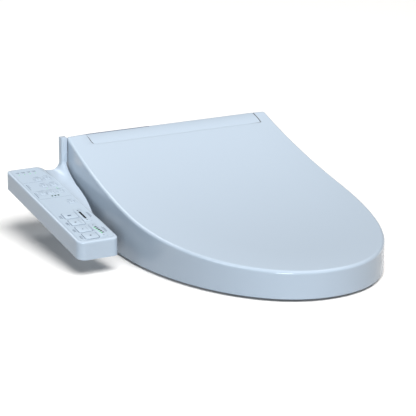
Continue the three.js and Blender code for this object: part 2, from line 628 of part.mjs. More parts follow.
// ---------------------------------------------------------------- nozzle
// Wand frame: y runs back along the wand from the gate plane, z is square to it.
const WAND_MATRIX = new THREE.Matrix4()
  .makeRotationX(NOZZLE_DIP)
  .setPosition(0, NOZZLE_MOUTH.y, NOZZLE_MOUTH.z);
function dipped(body) {
  return body.transform(WAND_MATRIX.elements);
}
function squareTube(half, radius, y0, y1) {
  const lay = new THREE.Matrix4().makeRotationX(-Math.PI / 2);
  return pad(0, 0, 2 * half, 2 * half, radius, y0, y1).transform(lay.elements);
}
function makeNozzle() {
  const tipEnd = NOZZLE_BACK_OFF;
  const rear = tipEnd + WAND_LENGTH;
  const tube = rod('y', WAND_R, tipEnd + 20, rear - 6, 0, 0, 18);
  const spigot = rod('y', 3, rear - 7, rear, 0, 0, 10);
  addSolid('nozzle_wand', GLOSS_SEAT, dipped(join(tube, spigot)));
  const dome = new THREE.SphereGeometry(WAND_R, 16, 10);
  dome.translate(0, tipEnd + WAND_R, 0);
  const sprayHoles = rod('z', 1.4, -20, -2, 0, tipEnd + 9, 8);
  const tip = join(rod('y', WAND_R, tipEnd + WAND_R, tipEnd + 20 - GAP, 0, 0, 16), solid(dome));
  addSolid('nozzle_tip', GREY, dipped(cut(tip, sprayHoles)));

  const mouth = tipEnd + SLEEVE_START;
  const sleeve = rod('y', SLEEVE_R, mouth, rear, 0, 0, 18);
  const sleeveBore = rod('y', WAND_R + 0.5, mouth - 5, rear + 5, 0, 0, 18);
  const rack = box(-2, 2, mouth + 4, rear, SLEEVE_R - 1.2, SLEEVE_R + 2);
  addSolid('nozzle_sleeve', KEYCAP, dipped(cut(join(sleeve, rack), sleeveBore)));

  const half = SLEEVE_R + 3.4;
  const tunnel = cut(squareTube(half, 4, tipEnd - 16, rear - 8),
    squareTube(half - 2.6, 2, tipEnd - 30, rear + 20));
  const rackSlot = box(-3, 3, tipEnd - 40, rear + 20, 0, 20);
  addSolid('nozzle_housing', GREY, dipped(cut(tunnel, rackSlot)));

  const pinionY = tipEnd + 38;
  const pinionZ = SLEEVE_R + 2 + GAP + 6;
  const teeth = [];
  for (let i = 0; i < 24; i += 1) {
    const r = i % 2 ? 4.7 : 6;
    const a = Math.PI * 2 * i / 24;
    teeth.push([pinionY + r * Math.cos(a), pinionZ + r * Math.sin(a)]);
  }
  addSolid('drive_pinion', DARK, dipped(across(teeth, -2, 2)));
  const can = rod('x', 10, 6, 26, pinionY, pinionZ + 8, 18);
  const shaft = rod('x', 1.6, 2.5, 8, pinionY, pinionZ, 10);
  addSolid('nozzle_motor', STEEL, dipped(join(can, shaft)));

  const gate = box(-24, 24, UNIT_FRONT_Y - 0.6, UNIT_FRONT_Y + 1.6, 9.5, 41);
  const barrel = rod('x', 1.5, -24, 24, UNIT_FRONT_Y + 1, 41.5, 10);
  addSolid('nozzle_gate', GLOSS, join(gate, barrel));
}

// ---------------------------------------------------------------- water and air
function makeWaterParts() {
  const tank = pad(105, -30, 82, 66, 10, 12, 76);
  const outlet = rod('y', 4, -6, 8, 80, 60, 12);
  const sensor = rod('z', 5, 70, 82, 120, -30, 12);
  addSolid('heater_tank', GREY, join(tank, outlet, sensor));

  const pump = rod('x', 15, 44, 88, 30, 62, 20);
  const head = rod('x', 17, 88, 100, 30, 62, 20);
  const port = rod('z', 4, 74, 88, 94, 30, 10);
  addSolid('water_pump', DARK, join(pump, head, port));

  const body = pad(INLET_X, 28, 24, 30, 4, 40, 62);
  const coil = rod('z', 10, 60, 84, INLET_X, 26, 16);
  addSolid('inlet_valve', DARK, join(body, coil));

  const spigot = rod('y', 9, 38, 66.2, INLET_X, PORT_Z);
  const riser = rod('z', 7, 20, 39.6, INLET_X, 36, 16);
  const bore = rod('y', 6, 36, 70, INLET_X, PORT_Z);
  const riserBore = rod('z', 4.2, 24, 45, INLET_X, 36, 12);
  const nut = rod('y', 10.8, 54, 60, INLET_X, PORT_Z, 6);
  addSolid('water_inlet', BRASS, cut(join(spigot, nut, riser), bore, riserBore));

  const plug = rod('y', 9.6, 60, 66.4, DRAIN_X, PORT_Z);
  const grip = box(DRAIN_X - 1.6, DRAIN_X + 1.6, 62, 67.8, PORT_Z - 8, PORT_Z + 8);
  const strainer = rod('y', 6, 34, 61, DRAIN_X, PORT_Z);
  addSolid('drain_plug', GREY, join(plug, grip, strainer));
}
function makeAirParts() {
  const scroll = rod('x', 25, 18, 42, 38, 88, 24);
  const throat = box(18, 42, 8, 38, 95, 108);
  const hollow = rod('x', 22.5, 20.5, 50, 38, 88, 24);
  const throatHollow = box(20.5, 39.5, 0, 38, 97.5, 105.5);
  addSolid('blower_housing', DARK, cut(join(scroll, throat), hollow, throatHollow));
  const blades = [];
  const hub = rod('x', 5, 22, 38, 38, 88, 12);
  const disc = rod('x', 20.5, 22, 23.6, 38, 88, 20);
  for (let i = 0; i < 10; i += 1) {
    const g = new THREE.BoxGeometry(14, 1.4, 10);
    g.translate(30, 0, 15);
    g.rotateX(Math.PI * 2 * i / 10);
    g.translate(0, 38, 88);
    blades.push(solid(g));
  }
  addSolid('blower_wheel', GREY, join(hub, disc, ...blades));
  const tray = box(38.6, 81.4, 20, 66.4, 12.6, 35.4);
  const window = box(44, 76, 26, 60, 0, 60);
  const bars = [50, 57, 64, 71].map((x) => box(x, x + 2, 22, 62, 20, 30));
  const pull = box(52, 68, 64, 68.4, 20, 27);
  addSolid('deodorizer_cartridge', GREY, join(cut(tray, window), ...bars, pull));
}
function makeElectrics() {
  const board = box(-142, -42, -66, 40, 14, 15.6);
  const relays = [[-130, -50], [-130, -25], [-100, -50], [-74, -50]].map(([x, y]) =>
    box(x, x + 20, y, y + 16, 15, 28));
  const sink = box(-100, -60, 0, 26, 15, 40);
  addSolid('control_board', BOARD, join(board, ...relays, sink));
  const module = pad(-100, 6, 70, 60, 4, 56, 84);
  const fins = [-124, -110, -96, -82].map((x) => box(x, x + 3, -18, 30, 83, 92));
  addSolid('power_module', GREY, join(module, ...fins));
  const collar = rod('y', 7.6, 50, 66.4, GLAND_X, PORT_Z, 16);
  const flange = rod('y', 10.4, 67.3, 69, GLAND_X, PORT_Z, 16);
  const neck = rod('y', 7.6, 66, 68, GLAND_X, PORT_Z, 16);
  const hole = rod('y', 3.6, 40, 80, GLAND_X, PORT_Z, 12);
  addSolid('power_gland', DARK, cut(join(collar, neck, flange), hole));
}
function makeSmallMovers() {
  const cap = rod('x', 6.8, UNIT_HALF - 8, UNIT_HALF + 1.2, -20, 28, 20);
  const stem = box(UNIT_HALF - 16, UNIT_HALF - 7, -23, -17, 25, 31);
  addSolid('release_button', GREY, join(cap, stem));
  const plunger = pad(SWITCH_X, -60, 8, 8, 1.5, 44, 59.6);
  const flange = pad(SWITCH_X, -60, 12, 12, 2, 42, 45);
  addSolid('seat_switch', DARK, join(plunger, flange));
}

makeMountingPlate();
makeUnitBase();
makeUnitCover();
makeTrimStrip();
makeArmShell();
makePanel();
makeHinges();
makeSeat();
makeLid();
makeNozzle();
makeWaterParts();
makeAirParts();
makeElectrics();
makeSmallMovers();

export default object;
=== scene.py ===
"""Electric bidet seat: camera, light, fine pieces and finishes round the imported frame.

Metres, +Z up, front of the seat towards -Y, the user's right-hand control arm at -X.
Sizes are written in millimetres and multiplied by MM.
"""

import math

import bmesh
import bpy
import numpy as np
from mathutils import Matrix, Vector


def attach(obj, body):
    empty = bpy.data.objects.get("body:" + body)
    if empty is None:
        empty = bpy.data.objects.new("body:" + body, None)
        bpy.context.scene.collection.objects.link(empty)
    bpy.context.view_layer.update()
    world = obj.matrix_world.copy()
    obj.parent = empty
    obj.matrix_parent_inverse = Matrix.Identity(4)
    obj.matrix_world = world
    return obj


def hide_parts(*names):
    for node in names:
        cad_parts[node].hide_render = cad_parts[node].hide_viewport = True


MM = 0.001
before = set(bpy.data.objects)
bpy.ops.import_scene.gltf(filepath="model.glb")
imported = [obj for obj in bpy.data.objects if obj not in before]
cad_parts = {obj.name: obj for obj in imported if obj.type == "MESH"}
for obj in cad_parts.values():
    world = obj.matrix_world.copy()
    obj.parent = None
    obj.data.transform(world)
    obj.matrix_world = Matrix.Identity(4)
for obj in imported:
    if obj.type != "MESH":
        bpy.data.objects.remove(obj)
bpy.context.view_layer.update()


# ------------------------------------------------------------------ camera
CAMERA_AZIMUTH, CAMERA_ELEVATION = -28.465, 16.417
CAMERA_TARGET = (-31.7, -134.2, 53.1)
CAMERA_DISTANCE = 3.1471
CAMERA_LENS = 173.6


def make_camera():
    """Long lens, from the front left and a little above."""
    azimuth, elevation = math.radians(CAMERA_AZIMUTH), math.radians(CAMERA_ELEVATION)
    target = Vector(CAMERA_TARGET) * MM
    back = Vector((math.sin(azimuth) * math.cos(elevation),
                   -math.cos(azimuth) * math.cos(elevation),
                   math.sin(elevation)))
    data = bpy.data.cameras.new("camera")
    data.sensor_width = 36.0
    data.lens = CAMERA_LENS
    data.clip_end = 100
    camera = bpy.data.objects.new("camera", data)
    camera.location = target + back * CAMERA_DISTANCE
    camera.rotation_mode = "QUATERNION"
    camera.rotation_quaternion = (-back).to_track_quat("-Z", "Y")
    bpy.context.scene.collection.objects.link(camera)
    bpy.context.scene.camera = camera


# ------------------------------------------------------------------ nodes
def new_material(name):
    """An empty material: its tree, its shader and the object's own coordinates."""
    material = bpy.data.materials.new(name)
    material.use_nodes = True
    tree = material.node_tree
    tree.nodes.clear()
    out = tree.nodes.new("ShaderNodeOutputMaterial")
    shader = tree.nodes.new("ShaderNodeBsdfPrincipled")
    tree.links.new(shader.outputs[0], out.inputs[0])
    place = tree.nodes.new("ShaderNodeTexCoord").outputs["Object"]
    return material, tree, shader, place


def noise(tree, place, scale, detail=3.0):
    """A noise value between 0 and 1."""
    node = tree.nodes.new("ShaderNodeTexNoise")
    node.inputs["Scale"].default_value = scale
    node.inputs["Detail"].default_value = detail
    node.inputs["Roughness"].default_value = 0.5
    tree.links.new(place, node.inputs["Vector"])
    return node.outputs["Fac"]


def spread(tree, value, low, high, start=0.3, end=0.7):
    """Stretches the span from start to end over the span from low to high."""
    node = tree.nodes.new("ShaderNodeMapRange")
    node.inputs["From Min"].default_value = start
    node.inputs["From Max"].default_value = end
    node.inputs["To Min"].default_value = low
    node.inputs["To Max"].default_value = high
    tree.links.new(value, node.inputs["Value"])
    return node.outputs[0]


MIX_FIRST, MIX_SECOND, MIX_RESULT = 6, 7, 2   # colour sockets of the Mix node


def mix(tree, amount, a, b):
    """Blends two colours."""
    node = tree.nodes.new("ShaderNodeMix")
    node.data_type = "RGBA"
    node.inputs[MIX_FIRST].default_value = (*a, 1)
    node.inputs[MIX_SECOND].default_value = (*b, 1)
    tree.links.new(amount, node.inputs[0])
    return node.outputs[MIX_RESULT]


def srgb(r, g, b):
    """A screen colour, 0 to 255, as the linear colour that the shader takes."""
    return tuple((c / 255 / 12.92) if c <= 10 else ((c / 255 + 0.055) / 1.055) ** 2.4
                 for c in (r, g, b))


def moulded(name, tint, shade, rough, grain, bump, cloud=14.0):
    """Moulded plastic: a slow drift of tint, a fine surface grain and uneven gloss."""
    material, tree, shader, place = new_material(name)
    drift = spread(tree, noise(tree, place, cloud, 1.0), 0.0, 1.0, 0.2, 0.8)
    tree.links.new(mix(tree, drift, tint, shade), shader.inputs["Base Color"])
    gloss = noise(tree, place, cloud * 4, 1.0)
    uneven = spread(tree, gloss, rough * 0.93, rough * 1.07, 0.1, 0.9)
    tree.links.new(uneven, shader.inputs["Roughness"])
    relief = tree.nodes.new("ShaderNodeBump")
    relief.inputs["Strength"].default_value = bump
    relief.inputs["Distance"].default_value = 0.0002
    tree.links.new(noise(tree, place, grain, 2.0), relief.inputs["Height"])
    tree.links.new(relief.outputs[0], shader.inputs["Normal"])
    shader.inputs["IOR"].default_value = 1.5
    return material


def metal(name, tint, shade, rough, brush=(1.0, 1.0, 1.0)):
    """Turned or drawn metal with fine brushing along one direction."""
    material, tree, shader, place = new_material(name)
    mapping = tree.nodes.new("ShaderNodeMapping")
    mapping.inputs["Scale"].default_value = brush
    tree.links.new(place, mapping.inputs["Vector"])
    lines = noise(tree, mapping.outputs[0], 700.0, 3.0)
    tree.links.new(mix(tree, spread(tree, lines, 0, 1), tint, shade), shader.inputs["Base Color"])
    tree.links.new(spread(tree, lines, rough * 0.7, rough * 1.3), shader.inputs["Roughness"])
    shader.inputs["Metallic"].default_value = 1.0
    return material


def circuit_green(name):
    """Lacquered board with faint copper tracks under the green."""
    material, tree, shader, place = new_material(name)
    tracks = tree.nodes.new("ShaderNodeTexBrick")
    tracks.inputs["Scale"].default_value = 160.0
    tracks.inputs["Color1"].default_value = (*srgb(30, 88, 56), 1)
    tracks.inputs["Color2"].default_value = (*srgb(38, 104, 66), 1)
    tracks.inputs["Mortar"].default_value = (*srgb(70, 140, 84), 1)
    tracks.inputs["Mortar Size"].default_value = 0.01
    tree.links.new(place, tracks.inputs["Vector"])
    tree.links.new(tracks.outputs["Color"], shader.inputs["Base Color"])
    tree.links.new(spread(tree, noise(tree, place, 200.0), 0.3, 0.5), shader.inputs["Roughness"])
    return material


def light_guide(name, off, lit, glow):
    """Clear green light guide, unevenly lit from behind."""
    material, tree, shader, place = new_material(name)
    cells = noise(tree, place, 120.0, 1.0)
    colour = mix(tree, spread(tree, cells, 0, 1), off, lit)
    tree.links.new(colour, shader.inputs["Base Color"])
    tree.links.new(colour, shader.inputs["Emission Color"])
    shader.inputs["Emission Strength"].default_value = glow
    shader.inputs["Roughness"].default_value = 0.25
    return material


# Each moulded finish: name, tint, shade, roughness, scale of the grain, its depth.
MAT = {
    "shell": moulded("shell_gloss", srgb(183, 193, 203), srgb(182, 192, 202), 0.15, 45, 0.004,
                     cloud=3.0),
    "seat": moulded("seat_gloss", srgb(196, 205, 216), srgb(193, 203, 214), 0.2, 45, 0.004,
                    cloud=3.0),
    "case": moulded("case_satin", srgb(176, 187, 199), srgb(170, 181, 194), 0.42, 1200, 0.03),
    "film": moulded("panel_film", srgb(181, 192, 202), srgb(178, 189, 200), 0.3, 1200, 0.01),
    "key": moulded("key_cap", srgb(183, 194, 204), srgb(180, 191, 202), 0.28, 1200, 0.01),
    "grey": moulded("grey_plastic", srgb(142, 150, 158), srgb(128, 136, 145), 0.5, 1800, 0.12),
    "dark": moulded("dark_plastic", srgb(46, 50, 56), srgb(38, 41, 47), 0.48, 1800, 0.15),
    "rubber": moulded("pad_rubber", srgb(160, 166, 172), srgb(148, 154, 161), 0.75, 1200, 0.25),
    # painted shade: this dark brown stands for the shade in the gap between the strip and the lid
    "gap": moulded("gap_painted_shade", srgb(74, 64, 58), srgb(66, 57, 52), 0.7, 1200, 0.1),
    "lens": moulded("display_lens", srgb(8, 11, 16), srgb(12, 15, 21), 0.7, 300, 0.01),
    "steel": metal("pin_steel", srgb(186, 190, 195), srgb(160, 164, 170), 0.3, (0.05, 1, 1)),
    "brass": metal("inlet_brass", srgb(190, 158, 92), srgb(168, 134, 70), 0.32, (1, 0.1, 1)),
    "foil": metal("heater_foil", srgb(196, 198, 200), srgb(170, 172, 176), 0.35),
    "board": circuit_green("board_green"),
    "light": light_guide("guide_green", srgb(110, 205, 140), srgb(150, 235, 175), 0.3),
    "ink": moulded("print_grey", srgb(84, 97, 114), srgb(76, 88, 105), 0.5, 2400, 0.05),
    "ink_pale": moulded("print_pale", srgb(122, 135, 151), srgb(114, 127, 144), 0.5, 2400, 0.05),
    "ink_dark": moulded("print_dark", srgb(22, 28, 38), srgb(18, 23, 31), 0.4, 2400, 0.05),
    # painted shade: this dark slate blue on the louvre's slats and the sheet behind them stands for
    # the shade along the strip's rear edge
    "rear_edge_shade": moulded("louvre_painted_shade", srgb(88, 102, 128), srgb(78, 92, 118), 0.5, 1800, 0.1),
    "lit": light_guide("lamp_green", srgb(70, 190, 96), srgb(104, 214, 126), 0.25),
    "lit_dim": light_guide("lamp_dim_green", srgb(14, 62, 34), srgb(24, 84, 46), 0.03),
}


# ------------------------------------------------------------------ meshes
WELD_GAP = 1e-6   # metres between points that are one and the same


def make_piece(name, verts, faces, material, body, stands_for=(), sharp=32.0,
               modifiers=None):
    """A mesh from points in millimetres, finished, smoothed and riding on its body."""
    mesh = bpy.data.meshes.new(name)
    mesh.from_pydata([tuple(c * MM for c in v) for v in verts], [], faces)
    piece = bpy.data.objects.new(name, mesh)
    bpy.context.scene.collection.objects.link(piece)
    weld(mesh)
    if modifiers:
        modifiers(piece)
        settle(piece)
    finish_piece(piece, material, body, stands_for, sharp)


def finish_piece(piece, material, body, stands_for, sharp):
    """Dresses a piece, puts it on its body and hides the nodes it stands for."""
    piece.data.materials.clear()
    piece.data.materials.append(material)
    crease(piece.data, sharp)
    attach(piece, body)
    if stands_for:
        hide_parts(*stands_for)


def weld(mesh):
    """One closed skin: doubles merged, normals outwards, unused points dropped."""
    bm = bmesh.new()
    bm.from_mesh(mesh)
    bmesh.ops.remove_doubles(bm, verts=bm.verts, dist=WELD_GAP)
    bmesh.ops.recalc_face_normals(bm, faces=bm.faces)
    unused = [v for v in bm.verts if not v.link_faces]
    bmesh.ops.delete(bm, geom=unused, context="VERTS")
    bm.to_mesh(mesh)
    bm.free()


def settle(piece):
    """Bakes the piece's modifiers into its mesh."""
    graph = bpy.context.evaluated_depsgraph_get()
    done = bpy.data.meshes.new_from_object(piece.evaluated_get(graph))
    piece.modifiers.clear()
    piece.data = done


def crease(mesh, degrees):
    """Smooth shading, with a hard edge where the faces turn by more than this."""
    mesh.polygons.foreach_set("use_smooth", [True] * len(mesh.polygons))
    bm = bmesh.new()
    bm.from_mesh(mesh)
    limit = math.radians(degrees)
    for edge in bm.edges:
        edge.smooth = len(edge.link_faces) == 2 and edge.calc_face_angle(0) < limit
    bm.to_mesh(mesh)
    bm.free()


def grid_faces(rows, columns, start=0, flip=False):
    """Quads between columns of points that follow each other."""
    faces = []
    for j in range(columns - 1):
        for k in range(rows - 1):
            a = start + j * rows + k
            quad = [a, a + 1, a + 1 + rows, a + rows]
            faces.append(quad[::-1] if flip else quad)
    return faces


def thicken(piece, thickness, bevel=0.0, angle=50.0):
    """Gives an open skin a wall of this thickness, inwards."""
    wall = piece.modifiers.new("wall", "SOLIDIFY")
    wall.thickness = thickness * MM
    wall.offset = -1.0
    wall.use_even_offset = False
    if bevel:
        soften(piece, bevel, angle)


def soften(piece, width, angle):
    """Rounds the edges that turn by more than this angle."""
    edge = piece.modifiers.new("edge", "BEVEL")
    edge.width = width * MM
    edge.segments = 2
    edge.limit_method = "ANGLE"
    edge.angle_limit = math.radians(angle)
    edge.use_clamp_overlap = True


# ------------------------------------------------------------------ small solids
def solid_mesh(bm):
    """Ends a closed solid: normals outwards, then a mesh."""
    bmesh.ops.recalc_face_normals(bm, faces=bm.faces)
    mesh = bpy.data.meshes.new("solid")
    bm.to_mesh(mesh)
    bm.free()
    return mesh


def prism(points, z0, z1, bevel=0.0, segments=3, matrix=None):
    """An upright plan outline with rounded edges, in millimetres."""
    bm = bmesh.new()
    low = [bm.verts.new((x, y, z0)) for x, y in points]
    high = [bm.verts.new((x, y, z1)) for x, y in points]
    top = bm.faces.new(high)
    base = bm.faces.new(low[::-1])
    n = len(points)
    for i in range(n):
        bm.faces.new((low[i], low[(i + 1) % n], high[(i + 1) % n], high[i]))
    if bevel:
        edges = list(top.edges) + list(base.edges)
        bmesh.ops.bevel(bm, geom=edges, offset=bevel, segments=segments, profile=0.5,
                        affect="EDGES", clamp_overlap=True)
    if matrix is not None:
        bm.transform(matrix)
    bm.transform(Matrix.Scale(MM, 4))
    return solid_mesh(bm)


def rounded_outline(cx, cy, w, h, r, steps=6):
    """A rectangle with round corners about its centre."""
    points = []
    for sx, sy, start in ((1, -1, -90), (1, 1, 0), (-1, 1, 90), (-1, -1, 180)):
        for i in range(steps + 1):
            a = math.radians(start + 90 * i / steps)
            points.append((cx + sx * (w / 2 - r) + r * math.cos(a),
                           cy + sy * (h / 2 - r) + r * math.sin(a)))
    return points


def rounded_box(x0, x1, y0, y1, z0, z1, r):
    """A block with every edge rounded."""
    bm = bmesh.new()
    bmesh.ops.create_cube(bm, size=1.0)
    for v in bm.verts:
        v.co = Vector((x0 if v.co.x < 0 else x1, y0 if v.co.y < 0 else y1,
                       z0 if v.co.z < 0 else z1))
    bmesh.ops.bevel(bm, geom=list(bm.edges), offset=r, segments=3, profile=0.5,
                    affect="EDGES", clamp_overlap=True)
    bm.transform(Matrix.Scale(MM, 4))
    return solid_mesh(bm)


AXES = {"x": Matrix.Rotation(math.pi / 2, 4, "Y"), "z": Matrix.Identity(4),
        "y": Matrix.Rotation(-math.pi / 2, 4, "X")}


def rod(axis, r, start, end, a, b, sides=40, bevel=0.5, matrix=None):
    """A round bar along an axis from start to end, its line at (a, b)."""
    bm = bmesh.new()
    bmesh.ops.create_cone(bm, cap_ends=True, segments=sides, radius1=r, radius2=r,
                          depth=abs(end - start))
    rims = [e for e in bm.edges if abs(abs(e.verts[0].co.z) - abs(end - start) / 2) < 1e-6
            and abs(e.verts[0].co.z - e.verts[1].co.z) < 1e-6]
    if bevel:
        bmesh.ops.bevel(bm, geom=rims, offset=bevel, segments=3, profile=0.5,
                        affect="EDGES", clamp_overlap=True)
    middle = (start + end) / 2
    place = {"x": (middle, a, b), "y": (a, middle, b), "z": (a, b, middle)}[axis]
    bm.transform(Matrix.Translation(place) @ AXES[axis])
    if matrix is not None:
        bm.transform(matrix)
    bm.transform(Matrix.Scale(MM, 4))
    return solid_mesh(bm)


def rod_along_x(x0, x1, r, y, z, sides, bevel):
    """A round bar from side to side."""
    return rod("x", r, x0, x1, y, z, sides, bevel)


def merge_piece(name, meshes, material, body, stands_for=(), sharp=35.0):
    """Several closed meshes as one named piece."""
    bm = bmesh.new()
    for mesh in meshes:
        bm.from_mesh(mesh)
        bpy.data.meshes.remove(mesh)
    joined = bpy.data.meshes.new(name)
    bm.to_mesh(joined)
    bm.free()
    piece = bpy.data.objects.new(name, joined)
    bpy.context.scene.collection.objects.link(piece)
    finish_piece(piece, material, body, stands_for, sharp)


# ------------------------------------------------------------------ lid
LID_CORNER_Y, LID_LENGTH, LID_WIDEST = 60.0, 530.0, 229.0
LID_REAR_Y = 66.5
LID_HALF, LID_REAR_HALF = 190.3, 183.5
LID_BOTTOM_Z, LID_NOTCH_Y, LID_NOTCH_Z = 3.6, -12.0, 42.0
LID_WALL = 3.0
LID_REAR_Z, LID_FALL = 143.75, (-224.8, 174.1, -46.1)   # height along the lid, a cubic
LID_ROUND_Y, LID_TIP_Y = -169.0, -470.0                 # where the front's curve starts and ends
LID_ROUND_LENGTH = LID_ROUND_Y - LID_TIP_Y
LID_POWER_X, LID_POWER_Y = 2.106, 1.964                 # roundness of the front
LID_CROWN, LID_CROWN_REACH = 1.7, 75.0                  # the top dips a little along its rim
LID_CUT_LOW_Z = 128.0                                   # foot of the cut-out's walls
HINGE_Y, HINGE_Z = 58.0, 121.0
STRIP_LEFT, STRIP_RIGHT, STRIP_FRONT_Y, STRIP_GAP = -149.0, 160.0, 34.5, 1.15
CUT_Y = STRIP_FRONT_Y - STRIP_GAP
CREASE_R = 4.6
REAR_ROUND = 6.0


def lid_top(y):
    """Height of the lid along its middle."""
    t = (LID_CORNER_Y - y) / LID_LENGTH
    return LID_REAR_Z + LID_FALL[0] * t + LID_FALL[1] * t * t + LID_FALL[2] * t ** 3


def lid_half(y):
    """Half the lid's width behind its widest place."""
    t = min(max((LID_CORNER_Y - y) / LID_WIDEST, 0.0), 1.0)
    return LID_REAR_HALF + (LID_HALF - LID_REAR_HALF) * math.sin(math.pi / 2 * t)


def lid_edge(front_steps=70):
    """Outline of the right half: rear corner forward to the tip."""
    rear = [66.5, 66.2, 65.4, 64.2, 62.6, 60.6, 58.4, 56, 52, 47, 42, 37, CUT_Y,
            29, 23, 16, 8, 0, -6, LID_NOTCH_Y + 0.2, LID_NOTCH_Y]
    points = [(lid_half(y), y) for y in [*rear, *np.linspace(-20, -161, 20)]]
    for a in np.linspace(0, math.pi / 2, front_steps):
        c, s = max(math.cos(a), 0.0), math.sin(a)
        points.append((LID_HALF * c ** (2 / LID_POWER_X),
                       LID_ROUND_Y - LID_ROUND_LENGTH * s ** (2 / LID_POWER_Y)))
    points[-1] = (0.0, LID_TIP_Y)
    return points


def edge_normal(edge, j):
    """Outward direction at a point of the outline: straight sideways along the rear part."""
    if j == len(edge) - 1:
        return 0.0, -1.0
    if edge[j][1] > -120:
        return 1.0, 0.0
    (ax, ay), (bx, by) = edge[max(j - 1, 0)], edge[j + 1]
    n = math.hypot(bx - ax, by - ay)
    return (ay - by) / n, (bx - ax) / n


def distance_to(points, step=0.6):
    """A function giving the distance from a point in plan to an open outline."""
    dense = []
    for (x0, y0), (x1, y1) in zip(points, points[1:]):
        n = max(int(math.hypot(x1 - x0, y1 - y0) / step), 1)
        dense += [(x0 + (x1 - x0) * i / n, y0 + (y1 - y0) * i / n) for i in range(n)]
    a = np.array(dense + [points[-1]])
    ab = a[1:] - a[:-1]
    a = a[:-1]
    length = np.maximum((ab * ab).sum(1), 1e-12)

    def measure(x, y):
        p = np.array([x, y])
        t = np.clip(((p - a) * ab).sum(1) / length, 0, 1)
        return float(np.sqrt(((a + ab * t[:, None] - p) ** 2).sum(1).min()))
    return measure


def round_drop(d, r):
    """How far an edge rounded with radius r falls, a distance d in from the side."""
    if d >= r:
        return 0.0
    return r - math.sqrt(max(r * r - (r - max(d, 0.0)) ** 2, 0.0))


def lid_surface(y, d):
    """Height of the lid at a distance d in from its rim."""
    crown = LID_CROWN * max(0.0, 1 - d / LID_CROWN_REACH) ** 2
    rear = round_drop(LID_REAR_Y - y, REAR_ROUND)
    return lid_top(min(y, LID_CORNER_Y)) - crown - round_drop(d, CREASE_R) - rear


def corner_shift(dx, dy, r, reach=12.0):
    """Rounds the cut-out's front corner: dx outwards and dy rearwards from it."""
    if dx >= 0 and dy >= 0:
        t, away = dy, dx
    elif dx <= 0 and dy <= 0:
        t, away = dx, -dy
    else:
        t, away = 0.0, max(dx, -dy)
    if abs(t) >= r or away >= reach:
        return 0.0, 0.0
    a = math.radians(-45 + 45 * t / r)
    flat = (0.0, t) if t >= 0 else (t, 0.0)
    fade = (1 - away / reach) ** 2
    return (r * math.cos(a) - r - flat[0]) * fade, (r + r * math.sin(a) - flat[1]) * fade


# Rows of points from the skirt's foot: shares of its height, then distances in over the top.
LEVELS = [0, 0.03, 0.3, 0.6, 0.85, 0.96, 1.0]
CREASE_ROWS = [CREASE_R * (1 - math.cos(math.radians(a))) for a in range(9, 91, 9)]
INNER_ROWS = CREASE_ROWS + [5.6, 7.5, 10, 14, 17.5, 21]
ACROSS_ROWS = 22
MIDDLE_LINE_LENGTH = 267.0   # how far the front's columns fan out along the middle line


def lid_column(edge, j, side, cut_half):
    """One line of points from the skirt's lower edge over the crease to the middle."""
    ex, ey = edge[j]
    nx, ny = edge_normal(edge, j)
    low = LID_NOTCH_Z if side < 0 and ey > LID_NOTCH_Y + 0.1 else LID_BOTTOM_Z
    top = lid_surface(ey, 0.0)
    column = [(ex, ey, low + (top - low) * f) for f in LEVELS]
    column += [(max(ex - nx * d, 0.0), ey - ny * d, None) for d in INNER_ROWS]
    bx, by = column[-1][:2]
    front = 0.0
    if ex < LID_HALF - 1e-6:
        front = max(0.0, min(1.0, (LID_ROUND_Y - ey) / LID_ROUND_LENGTH))
    turn = math.asin(min(front ** (LID_POWER_Y / 2), 1.0)) / (math.pi / 2)
    middle_y = ey if ey > LID_ROUND_Y else LID_ROUND_Y - MIDDLE_LINE_LENGTH * turn
    share = min(max((ey + 60) / 70.0, 0.0), 1.0)
    first = bx * (1 - 1 / ACROSS_ROWS) * (1 - share) + cut_half * share
    for i in range(1, ACROSS_ROWS + 1):
        f = (i - 1) / (ACROSS_ROWS - 1)
        column.append((first * (1 - f), by + (middle_y - by) * i / ACROSS_ROWS, None))
    return column


def build_lid():
    """The lid's skin, half by half, with the cut-out for the strip left open."""
    edge = lid_edge()
    measure = distance_to([(lid_half(66), 90)] + edge + [(-x, y) for x, y in edge[-2::-1]]
                          + [(-lid_half(66), 90)])
    cut_column = next(j for j, p in enumerate(edge) if p[1] == CUT_Y)
    first_inner = len(LEVELS) + len(INNER_ROWS)
    verts, faces = [], []
    for side, cut_half, r in ((1, STRIP_RIGHT + STRIP_GAP, 1.8), (-1, STRIP_GAP - STRIP_LEFT, 6.0)):
        start = len(verts)
        for j in range(len(edge)):
            column = lid_column(edge, j, side, cut_half)
            for k, (x, y, z) in enumerate(column):
                if z is None:
                    sx, sy = corner_shift(x - cut_half, y - CUT_Y, r)
                    x, y = x + sx, y + sy
                    z = lid_surface(y, measure(x, y))
                verts.append((side * x, y, z))
        rows = len(column)
        for j in range(len(edge) - 1):
            for k in range(rows - 1):
                if j < cut_column and k >= first_inner:
                    continue
                i = start + j * rows + k
                faces.append([i, i + 1, i + 1 + rows, i + rows])
        rear = range(start + len(LEVELS) - 1, start + first_inner + 1)
        lower = len(verts)
        verts += [(verts[i][0], verts[i][1], LID_CUT_LOW_Z) for i in rear]
        faces += [[i, i + 1, lower + n + 1, lower + n] for n, i in enumerate(rear[:-1])]
    return verts, faces


def orient(mesh, inside):
    """Turns an open shell's faces so that they look away from a point within it."""
    bm = bmesh.new()
    bm.from_mesh(mesh)
    bmesh.ops.recalc_face_normals(bm, faces=bm.faces)
    score = sum(f.normal.dot(f.calc_center_median() - inside) * f.calc_area() for f in bm.faces)
    if score < 0:
        bmesh.ops.reverse_faces(bm, faces=bm.faces)
    bm.to_mesh(mesh)
    bm.free()


LUGS = ((-181, -171), (172.4, 181))   # both lugs, from side to side


